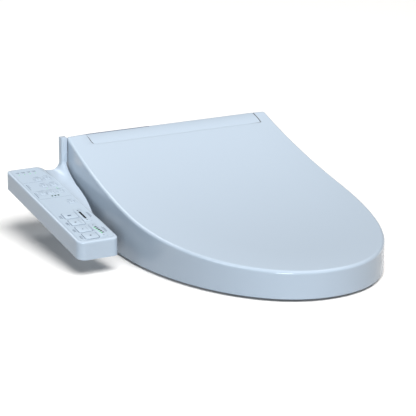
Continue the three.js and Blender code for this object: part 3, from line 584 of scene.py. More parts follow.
def make_lid():
    """The lid with its wall, and the lugs that it hangs on."""
    verts, faces = build_lid()

    def finish(piece):
        orient(piece.data, Vector((0, -0.15, 0.03)))
        thicken(piece, LID_WALL, 0.45, 55)
    make_piece("lid_shell", verts, faces, MAT["shell"], "lid", ("lid",),
               40, finish)
    lugs = []
    for x0, x1 in LUGS:
        lugs.append(rounded_box(x0, x1, 51, 63, HINGE_Z, 135.5, 1.0))
        lugs.append(rod_along_x(x0, x1, 7.5, HINGE_Y, HINGE_Z, 32, 0.8))
    merge_piece("lid_hinge_lugs", lugs, MAT["shell"], "lid")


# ------------------------------------------------------------------ trim strip
STRIP_CURVE = np.polyfit([35.5, 45, 56, 63.5], [133.05, 137.3, 140.9, 142.3], 2)
STRIP_EDGE_R, STRIP_REAR_Y, STRIP_REAR_R = 0.9, 63.4, 3.6


def strip_height(y):
    """Height of the strip's slightly convex top."""
    return float(np.polyval(STRIP_CURVE, y))


def strip_front(x):
    """Front line of the strip, with its rounded left corner and crisp right corner."""
    near_left = round_drop(x - STRIP_LEFT, 5.2)
    near_right = round_drop(STRIP_RIGHT - x, 1.2)
    return STRIP_FRONT_Y + near_left + near_right


def strip_section(x):
    """One section from the front wall's foot over the top to the rear wall's foot."""
    front, r = strip_front(x), STRIP_EDGE_R
    side = round_drop(min(x - STRIP_LEFT, STRIP_RIGHT - x), 0.8)
    shoulder_z = strip_height(front + r) - side
    points = [(front, 120), (front, shoulder_z - r - 2), (front, shoulder_z - r)]
    for a in (25, 50, 70, 90):
        t = math.radians(a)
        y = front + r * (1 - math.cos(t))
        points.append((y, shoulder_z - r * (1 - math.sin(t))))
    ys = np.linspace(front + r + 0.4, STRIP_REAR_Y, 16)
    points += [(y, strip_height(y) - side) for y in ys]
    rear_z = strip_height(STRIP_REAR_Y) - side
    for a in (15, 30, 45, 60, 75, 90):
        t = math.radians(a)
        points.append((STRIP_REAR_Y + STRIP_REAR_R * math.sin(t),
                       rear_z - STRIP_REAR_R * (1 - math.cos(t))))
    points += [(67, 130), (67, 112)]
    return points


def make_strip():
    """The fixed strip, closed at both ends."""
    ends = [0, 0.08, 0.3, 0.8, 1.4, 2.2, 3.2, 4.2, 5.2]
    xs = [STRIP_LEFT + e for e in ends] + list(np.linspace(-140, 154, 60))
    xs += [STRIP_RIGHT - e for e in (3, 1.2, 0.8, 0.3, 0.08, 0)]
    sections = [[(x, y, z) for y, z in strip_section(x)] for x in xs]
    rows = len(sections[0])
    verts = [p for section in sections for p in section]
    faces = grid_faces(rows, len(xs))
    faces.append(list(range(rows)))
    faces.append(list(range(len(verts) - rows, len(verts)))[::-1])

    def finish(piece):
        orient(piece.data, Vector((0.005, 0.05, 0.12)))
    make_piece("trim_strip", verts, faces, MAT["shell"], "unit",
               ("top_trim_strip",), 40, finish)


def make_rear_shade_sheet():
    """A thin dark sheet over the rear round of the strip, behind the louvre's slats: painted shade
    in the hollow there.
    """
    bm = bmesh.new()
    for y in (61.9, 64.0, 65.6, 66.6, 67.15):
        z = strip_height(min(y, STRIP_REAR_Y))
        z -= round_drop(67 - y, STRIP_REAR_R) if y > STRIP_REAR_Y else 0
        for x in (-150.2, -35):
            bm.verts.new((x, y, z + 0.22))
    bm.verts.ensure_lookup_table()
    for i in range(4):
        bm.faces.new([bm.verts[k] for k in (2 * i, 2 * i + 1, 2 * i + 3, 2 * i + 2)])
    bm.transform(Matrix.Scale(MM, 4))
    mesh = bpy.data.meshes.new("seal")
    bm.to_mesh(mesh)
    bm.free()
    merge_piece("rear_louvre_shade_sheet", [mesh], MAT["rear_edge_shade"], "unit")


def make_gap_shade_sheet():
    """A dark sheet lying deep in the gap between the strip and the lid: painted shade in the gap.
    """
    low, depth, half = 122.0, 0.2, 0.5
    line = []
    for y in np.linspace(62, 36, 10):
        line.append((STRIP_LEFT - STRIP_GAP / 2, y))
    xs = [STRIP_LEFT + e for e in (0.0, 1.0, 2.4, 4.0, 5.6)] + list(np.linspace(-140, 156, 40))
    line += [(x, strip_front(x) - STRIP_GAP / 2) for x in xs]
    line += [(STRIP_RIGHT + STRIP_GAP / 2, y) for y in np.linspace(35.5, 62, 10)]
    verts, faces = [], []
    for i, (x, y) in enumerate(line):
        ax, ay = line[max(i - 1, 0)]
        bx, by = line[min(i + 1, len(line) - 1)]
        n = math.hypot(bx - ax, by - ay)
        nx, ny = (by - ay) / n * half, (ax - bx) / n * half
        top = strip_height(max(y, STRIP_FRONT_Y)) - depth
        verts += [(x + nx, y + ny, low), (x + nx, y + ny, top),
                  (x - nx, y - ny, top), (x - nx, y - ny, low)]
    for i in range(len(line) - 1):
        for k in range(4):
            a, b = 4 * i + k, 4 * i + (k + 1) % 4
            faces.append([a, b, b + 4, a + 4])
    faces.append([3, 2, 1, 0])
    faces.append([len(verts) - 4 + k for k in range(4)])
    make_piece("strip_gap_shade_sheet", verts, faces, MAT["gap"], "unit", (), 40)


# ------------------------------------------------------------------ control arm
ARM_X, ARM_IN_X, ARM_Y, ARM_Z = -288.0, -222.0, 67.0, 98.8
ARM_SLOPE, ARM_LENGTH, ARM_DEPTH = 0.167, 277.6, 28.0
ARM_TILT = math.atan(ARM_SLOPE)
ARM_FRONT_Y = ARM_Y - ARM_LENGTH * math.cos(ARM_TILT)
PANEL = Matrix.Translation((ARM_X, ARM_Y, ARM_Z)) @ Matrix.Rotation(ARM_TILT, 4, "X")
PANEL_WIDTH = ARM_IN_X - ARM_X
ARM_WALL = 2.6
ARM_OUTER_R, ARM_INNER_R, ARM_REAR_R = 13.0, 9.0, 8.0   # corners of the arm's plan
WEB_REAR_Y, WEB_FRONT_Y = 50.0, -121.0                  # the web between panel and lid
WEB_REAR_X, WEB_RUN, WEB_BOW = -193.0, 29.0, 7.0
FOOT_X, FOOT_FRONT_Y, FOOT_REAR_Y = -187.6, -4.0, 58.0  # where the web runs into the fin
SHOULDER_FALL = 6.3
EDGE_R, RIM_R = 2.6, 1.5
FIN = (-195.0, -186.6, 56.0, 67.0)
FIN_TOP, FIN_WIDER_Z, FIN_WIDER_X = 143.4, 105.0, -185.1
FILLET_R, FIN_CORNER_R = 14.0, 3.2


def ramp(value, start, end):
    """An even S-shaped rise from 0 to 1."""
    t = min(max((value - start) / (end - start), 0.0), 1.0)
    return t * t * (3 - 2 * t)


def arm_plane(y):
    """Height of the panel's sloping plane."""
    return ARM_Z - ARM_SLOPE * (ARM_Y - y)


def arm_left(y):
    """Outer side of the arm."""
    front = round_drop(y - ARM_FRONT_Y, ARM_OUTER_R)
    return ARM_X + front + round_drop(ARM_Y - y, ARM_REAR_R)


def arm_right(y):
    """Inner edge: the fin's foot, the web's long edge, then the panel's own side."""
    if y < WEB_FRONT_Y:
        return ARM_IN_X - round_drop(y - ARM_FRONT_Y, ARM_INNER_R)
    along = (WEB_REAR_Y - min(y, WEB_REAR_Y)) / (WEB_REAR_Y - WEB_FRONT_Y)
    web = WEB_REAR_X - WEB_RUN * along + WEB_BOW * math.sin(math.pi * along)
    return web + (FOOT_X - web) * ramp(y, FOOT_FRONT_Y, FOOT_REAR_Y)


def shoulder_width(y):
    """The panel's inner shoulder is broad at the rear and fades towards the front."""
    return 3 + 13 * ramp(y, 5, 66)


def shoulder(x, y):
    """How far the panel's inner side has fallen towards the web."""
    width = shoulder_width(y)
    s = min(max((x - (ARM_IN_X - width)) / (width + 0.6), 0.0), 1.0)
    return SHOULDER_FALL * ramp(y, -150, -95) * s * s


def fin_fillet(x, y):
    """The web sweeps up in a concave curve: steeply beside the fin, gently before it."""
    across = max(FIN[0] + FIN_CORNER_R - x, 0.0)
    ahead = FIN[2] + FIN_CORNER_R - y
    if y < FIN[2]:
        ahead = FIN_CORNER_R + (FIN[2] - y) * 0.45
    away = max(math.hypot(across, max(ahead, 0.0)) - FIN_CORNER_R, 0.0)
    if away >= FILLET_R:
        return 0.0
    return FILLET_R - math.sqrt(max(FILLET_R ** 2 - (FILLET_R - away) ** 2, 0.0))


def arm_top(x, y, to_side, to_rim):
    """Height of the arm's top: the panel, its shoulder, the hollow web and the fin's foot."""
    base = arm_plane(y) - shoulder(x, y)
    web = min(max((x - ARM_IN_X) / 30.0, 0.0), 1.0)
    hollow = 1.6 * math.sin(math.pi * web) * ramp(y, -110, 20)
    edge = max(round_drop(to_side, EDGE_R), round_drop(to_rim, RIM_R))
    return base - hollow + fin_fillet(x, y) - edge


def arm_stations():
    """Places of the cross-sections, close together at the fin and at both ends."""
    ys = [67, 66.9, 66.6, 66.1, 65.4, 64.6, 63.4, 62, 60.5, 59, 58, 57.2, 56.6, 56.2, 55.9,
          55.4, 54.8, 54, 53, 52, 51, 50, 49, 48, 46.5, 45, 43, 41, 38, 34, 29, 23, 16]
    ys += list(np.linspace(8, -110, 22)) + [-114, -117, -119.5, -121, -121.2, -124, -130]
    ys += list(np.linspace(-138, -190, 8))
    ys += [ARM_FRONT_Y + ARM_OUTER_R * (1 - math.sin(math.radians(a))) for a in range(6, 91, 6)]
    return ys


def arm_rows(y):
    """Places across one section: outer edge, panel, shoulder, web, fillet and inner rim."""
    left, right = arm_left(y), arm_right(y)
    full = min((right - left) / PANEL_WIDTH, 1.0)
    panel_in = min(ARM_IN_X, right - 3.4)
    shoulder_start = panel_in - shoulder_width(y) * full
    shoulder_end = panel_in + (0.6 if y > WEB_FRONT_Y else 0.3)
    rim = right - RIM_R
    fillet_end = min(FIN[0] + 0.3, rim - 0.6)
    fillet_start = max(fillet_end - FILLET_R,
                       shoulder_end + (fillet_end - shoulder_end) * 0.35)
    rows = [left + EDGE_R * full * (1 - math.cos(math.radians(a))) for a in range(0, 91, 15)]
    rows += list(np.linspace(rows[-1], shoulder_start, 12))[1:]
    rows += list(np.linspace(shoulder_start, shoulder_end, 12))[1:]
    rows += list(np.linspace(shoulder_end, fillet_start, 5))[1:]
    steps = [math.sin(math.radians(a)) for a in range(6, 91, 6)]
    rows += [fillet_start + (fillet_end - fillet_start) * f for f in steps]
    rows += list(np.linspace(fillet_end, rim, 4))[1:]
    rows += [right - RIM_R * (1 - math.sin(math.radians(a))) for a in (22, 45, 67, 90)]
    return rows


ARM_LEVELS = [0.0, 0.02, 0.06, 0.35, 0.7, 0.93]   # rows up the arm's walls


def build_arm():
    """The arm's skin: cross-sections from rear to front, then a wall across each end."""
    stations = arm_stations()
    step = WEB_FRONT_Y - 0.1
    side = [(arm_right(step), step)]
    fronts = [y for y in stations if y < step]
    side += [(arm_right(y), y) for y in fronts]
    side += [(arm_left(y), y) for y in stations[::-1]] + [(-186, ARM_Y)]
    rim = [(arm_right(y), y) for y in stations if y > step] + [(ARM_IN_X, WEB_FRONT_Y)]
    to_side, to_rim = distance_to(side), distance_to(rim)
    verts, faces = [], []
    for y in stations:
        top = [(x, y, arm_top(x, y, to_side(x, y), to_rim(x, y))) for x in arm_rows(y)]
        floor = arm_plane(y) - ARM_DEPTH
        (x0, _, z0), (x1, _, z1) = top[0], top[-1]
        up = [(x0, y, floor + (z0 - floor) * f) for f in ARM_LEVELS]
        down = [(x1, y, floor + (z1 - floor) * f) for f in ARM_LEVELS[::-1]]
        verts += up + top + down
    rows = len(up) + len(top) + len(down)
    faces += grid_faces(rows, len(stations))
    for column, flip in ((0, False), (len(stations) - 1, True)):
        start = column * rows + len(ARM_LEVELS)
        floor = arm_plane(stations[column]) - ARM_DEPTH
        wall = len(verts)
        for k in range(len(top)):
            x, y, z = verts[start + k]
            verts += [(x, y, floor + (z - floor) * f) for f in ARM_LEVELS] + [(x, y, z)]
        faces += grid_faces(len(ARM_LEVELS) + 1, len(top), wall, flip)
    return verts, faces


def fin_plan(x1, inset):
    """Plan of the fin: a generous outer front corner and a crisp inner one."""
    x0, x1, y0, y1 = FIN[0] + inset, x1 - inset, FIN[2] + inset, FIN[3] - inset
    plan = [(x0, y1)]
    for r, cx, start in ((FIN_CORNER_R, x0 + FIN_CORNER_R, 180), (0.9, x1 - 0.9, 270)):
        for a in range(start, start + 91, 10):
            t = math.radians(a)
            plan.append((cx + r * math.cos(t), y0 + r + r * math.sin(t)))
    return plan + [(x1, y1)]


def fin_mesh():
    """The fin is a little wider above the lid's hinge, where nothing swings past it."""
    foot_z, top_r = 70.0, 1.4
    levels = [(foot_z, FIN[1], 0.0), (FIN_WIDER_Z - 3, FIN[1], 0.0),
              (FIN_WIDER_Z, FIN_WIDER_X, 0.0), (125.0, FIN_WIDER_X, 0.0)]
    for a in range(0, 91, 15):
        t = math.radians(a)
        levels.append((FIN_TOP - top_r + top_r * math.sin(t), FIN_WIDER_X,
                       top_r * (1 - math.cos(t))))
    bm = bmesh.new()
    loops = [[bm.verts.new((x, y, z)) for x, y in fin_plan(x1, inset)]
             for z, x1, inset in levels]
    n = len(loops[0])
    for low, high in zip(loops, loops[1:]):
        for i in range(n):
            k = (i + 1) % n
            bm.faces.new((low[i], low[k], high[k], high[i]))
    bm.faces.new(loops[0][::-1])
    bm.faces.new(loops[-1])
    bm.transform(Matrix.Scale(MM, 4))
    return solid_mesh(bm)


def make_arm():
    """The arm's shell and the fin that stands on its web."""
    verts, faces = build_arm()

    def finish(piece):
        orient(piece.data, Vector((-0.25, -0.05, 0.05)))
        thicken(piece, ARM_WALL)
    make_piece("arm_shell", verts, faces, MAT["shell"], "unit",
               ("control_arm_shell",), 38, finish)
    merge_piece("arm_fin", [fin_mesh()], MAT["shell"], "unit", (), 50)


# ------------------------------------------------------------------ panel
MAIN_KEYS = {"stop_key": 186.8, "rear_wash_key": 211.0, "front_wash_key": 236.0,
             "dryer_key": 260.3}
SMALL_KEYS = {"power_key": (34.4, 47.5), "energy_saver_key": (50.2, 47.5),
              "deodorizer_key": (34.4, 72.8), "night_light_key": (50.2, 72.8),
              "water_heat_key": (20.4, 98.8), "seat_heat_key": (34.4, 98.8),
              "dryer_heat_key": (50.2, 98.8), "preset_key": (50.2, 140.6)}
ROCKERS = {"pressure_rocker": (45.6, 191, 44), "position_rocker": (45.9, 245.3, 46)}
FILM_TOP, KEY_TOP, SMALL_TOP, ROCKER_TOP = 0.62, 1.25, 0.86, 1.05
PRINT = 0.05                        # how far ink stands up
MAIN_U, MAIN_W, MAIN_H = 26.7, 22.0, 19.6
SMALL_W, SMALL_H, ROCKER_W = 12.4, 13.4, 12.0
KEY_FOOT, ROCKER_FOOT = -4.4, -3.2  # undersides, below the shell's face
FILM_U0, FILM_U1, FILM_END, FILM_CORNER = 4.5, 61.5, 6.0, 7.0
FILM_EDGE_STEPS = (0, 0.2, 0.6, 1.2, 2, 3, 4.2, 5.6, 7)


def slab(u, v, w, h, low, high, r=0.3, steps=3, bevel=0.0):
    """A rounded block on the panel: u across, v from the rear, heights over the shell."""
    points = rounded_outline(u, -v, w, h, min(r, w / 2 - 0.01, h / 2 - 0.01), steps)
    return prism(points, low, high, bevel, 3, PANEL)


def ring(u, v, w, h, r, thick, low, high):
    """A rounded frame, as printed or pressed round a key."""
    outer = rounded_outline(u, -v, w, h, r, 5)
    inner = rounded_outline(u, -v, w - 2 * thick, h - 2 * thick, max(r - thick, 0.2), 5)
    bm = bmesh.new()
    loops = [[bm.verts.new((x, y, z)) for x, y in points]
             for points, z in ((outer, low), (outer, high), (inner, high), (inner, low))]
    n = len(outer)
    for a, b in zip(loops, loops[1:] + loops[:1]):
        for i in range(n):
            bm.faces.new((a[i], a[(i + 1) % n], b[(i + 1) % n], b[i]))
    bm.transform(PANEL)
    bm.transform(Matrix.Scale(MM, 4))
    return solid_mesh(bm)


def make_film():
    """The printed film, laid over the shell so that it follows the inner shoulder."""
    front = ARM_LENGTH - FILM_END
    outline = rounded_outline((FILM_U0 + FILM_U1) / 2, -ARM_LENGTH / 2, FILM_U1 - FILM_U0,
                              front - FILM_END, FILM_CORNER, 8)
    measure = distance_to(outline + outline[:1])
    us = [FILM_U0 + f for f in FILM_EDGE_STEPS]
    us += list(np.linspace(14, 48, 8)) + list(np.linspace(50, FILM_U1, 10))
    vs = [FILM_END + f for f in FILM_EDGE_STEPS]
    vs += list(np.linspace(18, ARM_LENGTH - 18, 40))
    vs += [front - f for f in FILM_EDGE_STEPS[::-1]]
    verts = []
    for v in vs:
        for u in us:
            uu, vv = corner_in(u, v, FILM_U0, FILM_U1, FILM_END, front, FILM_CORNER)
            point = PANEL @ Vector((uu, -vv, 0))
            fall = shoulder(point.x, point.y)
            edge = round_drop(measure(uu, -vv), 0.35)
            verts.append(tuple(PANEL @ Vector((uu, -vv, FILM_TOP - fall - edge))))
    faces = grid_faces(len(us), len(vs))
    cutter = film_cutter()

    def finish(piece):
        orient(piece.data, Vector((-0.25, -0.05, 0.0)))
        thicken(piece, 0.35)
        openings = piece.modifiers.new("openings", "BOOLEAN")
        openings.operation = "DIFFERENCE"
        openings.object = cutter
    make_piece("panel_print_film", verts, faces, MAT["film"], "unit",
               ("panel_film",), 40, finish)
    bpy.data.objects.remove(cutter)


def film_cutter():
    """Blocks a little larger than the keys and rockers, which cut the film's openings."""
    low, high = -2, 3
    blocks = [slab(MAIN_U, v, MAIN_W + 0.9, MAIN_H + 0.9, low, high, 3.4, 6)
              for v in MAIN_KEYS.values()]
    blocks += [slab(u, v, SMALL_W + 0.8, SMALL_H + 0.8, low, high, 3.8, 6)
               for u, v in SMALL_KEYS.values()]
    blocks += [slab(u, v, ROCKER_W + 0.9, h + 0.9, low, high, 2.9, 6)
               for u, v, h in ROCKERS.values()]
    bm = bmesh.new()
    for block in blocks:
        bm.from_mesh(block)
    mesh = bpy.data.meshes.new("film_cutter")
    bm.to_mesh(mesh)
    bm.free()
    cutter = bpy.data.objects.new("film_cutter", mesh)
    bpy.context.scene.collection.objects.link(cutter)
    return cutter


def corner_in(u, v, u0, u1, v0, v1, r):
    """Moves points of a square grid so that its corners become round."""
    cu = u0 + r if u < u0 + r else u1 - r if u > u1 - r else u
    cv = v0 + r if v < v0 + r else v1 - r if v > v1 - r else v
    du, dv = u - cu, v - cv
    if du == 0 or dv == 0:
        return u, v
    longest = max(abs(du), abs(dv))
    length = math.hypot(du, dv)
    return cu + du * longest / length, cv + dv * longest / length


def make_keys():
    """Caps of the four large keys, the eight small keys and the two rockers."""
    caps = {}
    for name, v in MAIN_KEYS.items():
        caps[name] = slab(MAIN_U, v, MAIN_W, MAIN_H, KEY_FOOT, KEY_TOP, 3, 8, 0.4)
    for name, (u, v) in SMALL_KEYS.items():
        caps[name] = slab(u, v, SMALL_W, SMALL_H, KEY_FOOT, SMALL_TOP, 3.4, 8, 0.15)
    for name, (u, v, h) in ROCKERS.items():
        caps[name] = slab(u, v, ROCKER_W, h, ROCKER_FOOT, ROCKER_TOP, 2.5, 6, 0.4)
    for name, cap in caps.items():
        merge_piece(name + "_cap", [cap], MAT["key"], name, (name,))


def key_marks():
    """Plain strokes on the keys; none of them is a sign or a letter."""
    t, s = KEY_TOP, KEY_TOP + PRINT
    marks = {
        "stop_key": [("ink", [slab(24.6, 186.8, 4.2, 3.4, t - 0.1, s, 1.2),
                              slab(27.6, 186.4, 1.2, 3.8, t - 0.1, s, 0.5)])],
        "rear_wash_key": [("ink_dark", [slab(24.6, 211, 3.4, 2.4, t - 0.1, s, 1.0)]),
                          ("ink_pale", [slab(31.8, 211, 0.45, 13, t - 0.1, s, 0.2)])],
        "front_wash_key": [("ink", [slab(25, 236.2, 2.2, 2.6, t - 0.1, s, 0.9)]),
                           ("ink_pale", [slab(31.8, 236, 0.45, 13, t - 0.1, s, 0.2)])],
        "dryer_key": [("ink_dark", [slab(27.2, 259.4, 3.0, 3.0, t - 0.1, s, 1.4)])],
    }
    for name, groups in marks.items():
        for ink, meshes in groups:
            merge_piece(name + "_mark_" + ink, meshes, MAT[ink], name)
    t, s = SMALL_TOP, SMALL_TOP + PRINT
    for name, (u, v) in SMALL_KEYS.items():
        arch = [slab(u - 4.6, v + 1.0, 0.5, 8.4, t - 0.1, s, 0.2),
                slab(u + 4.6, v + 1.0, 0.5, 8.4, t - 0.1, s, 0.2),
                slab(u, v - 4.2, 6.6, 0.5, t - 0.1, s, 0.2),
                slab(u, v + 0.6, 0.6, 4.6, t - 0.1, s, 0.2)]
        merge_piece(name + "_mark", arch, MAT["ink_pale"], name)


STEPS, STEP_U, STEP_V = 5, 44.6, 235.6   # the staircase of the position display


def rocker_marks():
    """The two displays: one bar, and a staircase of five lit steps."""
    t, s = ROCKER_TOP, ROCKER_TOP + 0.06
    merge_piece("pressure_display_bar", [slab(45.6, 191, 3.4, 25.0, 0.6, s, 0.6, 3, 0.05)],
                MAT["lens"], "pressure_rocker", ("pressure_display",))
    merge_piece("pressure_rocker_mark", [slab(45.2, 174, 2.6, 1.6, t - 0.1, s, 0.4),
                                         slab(45.8, 207.4, 2.6, 1.6, t - 0.1, s, 0.4)],
                MAT["ink_dark"], "pressure_rocker")
    dark, lit = [], []
    for i in range(STEPS):
        v = STEP_V + i * 5.0
        u = STEP_U + i * 0.75
        lit.append(slab(u - 0.9, v + 0.9, 2.2, 2.0, 0.6, s, 0.4))
        dark.append(slab(u + 1.9, v - 0.2, 3.6, 2.7, 0.6, s, 0.4))
    merge_piece("position_display_steps", dark, MAT["lens"], "position_rocker",
                ("position_display",))
    merge_piece("position_display_lit", lit, MAT["lit"], "position_rocker")
    merge_piece("position_rocker_mark", [slab(45.4, 228, 1.8, 1.8, t - 0.1, s, 0.5),
                                         slab(46.6, 264.4, 1.8, 1.8, t - 0.1, s, 0.5)],
                MAT["ink"], "position_rocker")


def film_marks():
    """Printed strokes and rules of the film, painted shade as a grey ring round each large key, and
    the lit dots.
    """
    t, s = FILM_TOP - 0.15, FILM_TOP + PRINT
    pale, grey = [], []
    for v in MAIN_KEYS.values():
        for i, length in enumerate((8.6, 10.6)):
            grey.append(slab(9.7 + 2.2 * i, v + 0.8, 0.9, length, t, s, 0.3))
    for v, length in ((191, 19), (246, 18)):
        for i in range(2):
            grey.append(slab(55.4 + 2.0 * i, v, 0.8, length - 4 * i, t, s, 0.3))
    for u, w in ((12.8, 6), (22.3, 7), (31.8, 6), (40.7, 6.5)):
        grey.append(slab(u, 16.2, w, 1.1, t, s, 0.3))
        grey.append(slab(u + 0.4, 18.6, w * 0.7, 0.8, t, s, 0.3))
    for v0, v1 in ((62, 83), (94, 114)):
        grey.append(slab(7.8, (v0 + v1) / 2, 0.8, v1 - v0, t, s, 0.3))
        pale.append(slab(10.0, (v0 + v1) / 2 - 3, 0.6, (v1 - v0) * 0.6, t, s, 0.2))
    for v, u0, u1 in ((56, 6, 40), (90, 6, 60), (119, 6, 60)):
        pale.append(slab((u0 + u1) / 2, v, u1 - u0, 0.45, t, s, 0.1))
    for u, v in SMALL_KEYS.values():
        pale.append(slab(u, v - 8.6, 8.0, 0.9, t, s, 0.3))
    # painted shade: a thin grey ring at the rim of each large key's opening darkens the key's
    # outline
    for v in MAIN_KEYS.values():
        grey.append(ring(MAIN_U, v, MAIN_W + 1.9, MAIN_H + 1.9, 3.9, 0.45, t, s))
    merge_piece("film_rules", pale, MAT["ink_pale"], "unit")
    merge_piece("film_print_and_key_shade", grey, MAT["ink"], "unit")
    lit = [slab(u, 24, 1.6, 1.5, t, s, 0.7) for u in (12.8, 22.3, 31.8, 40.7)]
    lit += [slab(u, v, 1.4, 1.4, t, s, 0.65)
            for u, v in ((34.8, 83.3), (50.2, 85), (50.2, 89.1))]
    merge_piece("film_lamps", lit, MAT["lit"], "unit")
    levels = [slab(u, 112.2, 2.9, 3.2, t, s + 0.05, 0.8) for u in (30.7, 35.7, 40.9)]
    merge_piece("film_level_lamps", levels, MAT["lit_dim"], "unit")


def make_panel():
    """Everything on the arm's face."""
    make_film()
    make_keys()
    key_marks()
    rocker_marks()
    film_marks()


# ------------------------------------------------------------------ seat ring
SEAT_INSET, SEAT_REAR_Y, SEAT_BOTTOM_Z = 7.0, -84.0, 8.0
OPENING_HALF, OPENING_Y, OPENING_LENGTH = 104.0, -251.5, 133.5
SEAT_OUTER_R, SEAT_INNER_R, SEAT_CORNER_R = 13.0, 10.0, 16.0
BRIDGE_HALF, BRIDGE_FRONT_Y, BRIDGE_Z = 62.0, -130.0, 46.3
SEAT_BARS = ((-169.0, -152.0), (163.0, 171.0))
SIDEWAYS = Matrix(((0, 0, 1, 0), (1, 0, 0, 0), (0, 1, 0, 0), (0, 0, 0, 1)))


SEAT_FRONT_Y, SEAT_FRONT_Z, SEAT_SLOPE = -463.0, 39.0, 0.06
SEAT_WALL = 3.0
SEAT_DISH = 3.2                      # the top falls towards the opening
OPENING_ROUND = 0.86                 # 1 is an ellipse, less is squarer
SEAT_ANGLES = 240


def seat_top(y):
    """Height of the ring's top, falling a little more at its very front."""
    fall = 1.2 * max(0.0, (-452.0 - y) / 11.0) ** 2
    return SEAT_FRONT_Z + (y - SEAT_FRONT_Y) * SEAT_SLOPE - fall


def seat_side():
    """Right half of the seat's outline, rear corner rounded, rear middle to tip."""
    edge = lid_edge(90)
    side = []
    for j, (x, y) in enumerate(edge):
        nx, ny = edge_normal(edge, j)
        side.append((max(x - nx * SEAT_INSET, 0.0), y - ny * SEAT_INSET))
    side = [p for p in side if p[1] < SEAT_REAR_Y - SEAT_CORNER_R]
    x0 = side[0][0]
    rear = [(x0 * i / 12.0, SEAT_REAR_Y) for i in range(11)]
    for a in range(90, -1, -9):
        t = math.radians(a)
        rear.append((x0 - SEAT_CORNER_R + SEAT_CORNER_R * math.cos(t),
                     SEAT_REAR_Y - SEAT_CORNER_R + SEAT_CORNER_R * math.sin(t)))
    return rear + side


def ray_hits(outline, cx, cy, angle):
    """Distance from a centre to an outline along a direction."""
    ux, uy = math.cos(angle), math.sin(angle)
    best = 0.0
    for (ax, ay), (bx, by) in zip(outline, outline[1:]):
        ex, ey = bx - ax, by - ay
        det = ex * uy - ey * ux
        if abs(det) < 1e-9:
            continue
        s = ((cx - ax) * uy - (cy - ay) * ux) / det
        r = ((cx - ax) * ey - (cy - ay) * ex) / det
        if -1e-9 <= s <= 1 + 1e-9 and r > best:
            best = r
    return best


def seat_section_places():
    """Distances in from the outer side and from the inner side of a section."""
    outer = [SEAT_OUTER_R * (1 - math.cos(math.radians(a))) for a in range(0, 91, 10)]
    inner = [SEAT_INNER_R * (1 - math.cos(math.radians(a))) for a in range(90, -1, -10)]
    return outer, inner


def build_seat():
    """The ring's skin: sections all round, each from the outer foot to the inner foot."""
    side = seat_side()
    outline = side + [(-x, y) for x, y in side[-2::-1]]
    outer, inner = seat_section_places()
    verts = []
    angles = [2 * math.pi * i / SEAT_ANGLES for i in range(SEAT_ANGLES)]
    for angle in angles:
        ux, uy = math.cos(angle), math.sin(angle)
        far = ray_hits(outline, 0.0, OPENING_Y, angle)
        c, s = abs(ux) / OPENING_HALF, abs(uy) / OPENING_LENGTH
        power = 2 / OPENING_ROUND
        near = (c ** power + s ** power) ** (-1 / power)
        wide = far - near
        places = outer + [SEAT_OUTER_R + (wide - SEAT_OUTER_R - SEAT_INNER_R) * f / 9.0
                          for f in range(1, 9)] + [wide - d for d in inner]
        column = []
        for d in places:
            r = far - d
            x, y = r * ux, OPENING_Y + r * uy
            dish = SEAT_DISH * (d / wide) ** 2
            z = seat_top(y) - round_drop(d, SEAT_OUTER_R) - round_drop(wide - d, SEAT_INNER_R)
            column.append((x, y, z - dish))
        low = []
        for x, y, _ in (column[0], column[-1]):
            lift = ramp(BRIDGE_HALF + 6 - abs(x), 0, 6) * ramp(y - BRIDGE_FRONT_Y + 6, 0, 6)
            low.append(SEAT_BOTTOM_Z + (BRIDGE_Z - SEAT_BOTTOM_Z) * lift)
        (x0, y0, z0), (x1, y1, z1) = column[0], column[-1]
        up = [(x0, y0, low[0] + (z0 - low[0]) * f) for f in (0.0, 0.04, 0.5, 0.9)]
        down = [(x1, y1, low[1] + (z1 - low[1]) * f) for f in (0.9, 0.5, 0.04, 0.0)]
        verts += up + column + down
    rows = len(up) + len(column) + len(down)
    faces = grid_faces(rows, len(angles))
    last = (len(angles) - 1) * rows
    faces += [[last + k, last + k + 1, k + 1, k] for k in range(rows - 1)]
    return verts, faces


def bar_outline(half, steps=8):
    """Side outline of a hinge bar with round ends, from the hinge to the seat."""
    start, end = Vector((HINGE_Y, HINGE_Z)), Vector((-112.0, 47.0))
    along = (end - start).normalized()
    turn = math.atan2(along.y, along.x)
    points = []
    for centre, first in ((end, turn - math.pi / 2), (start, turn + math.pi / 2)):
        for i in range(steps + 1):
            a = first + math.pi * i / steps
            points.append((centre.x + half * math.cos(a), centre.y + half * math.sin(a)))
    return points


def make_seat():
    """The seat ring, and the two bars that it hangs on."""
    verts, faces = build_seat()

    def finish(piece):
        orient(piece.data, Vector((0.0, -0.25, 0.0)))
        thicken(piece, SEAT_WALL)
    make_piece("seat_ring", verts, faces, MAT["seat"], "seat", ("seat_shell",),
               42, finish)
    bars = []
    for x0, x1 in SEAT_BARS:
        bars.append(prism(bar_outline(7.0), x0, x1, 1.6, 4, SIDEWAYS))
        bars.append(rod_along_x(x0, x1, 8.0, HINGE_Y, HINGE_Z, 48, 1.2))
    merge_piece("seat_hinge_bars", bars, MAT["seat"], "seat", (), 40)


# ------------------------------------------------------------------ case and inside
NECK_X, NECK_FOOT_Z, NECK_LEAN = -220.0, 20.0, 22.0   # its foot lies out past x, below z


def lean_neck(bm):
    """The arm's neck tapers towards its foot, so that it stays behind the arm."""
    for v in bm.verts:
        if v.co.x < NECK_X * MM and v.co.z < NECK_FOOT_Z * MM:
            v.co.x += NECK_LEAN * MM


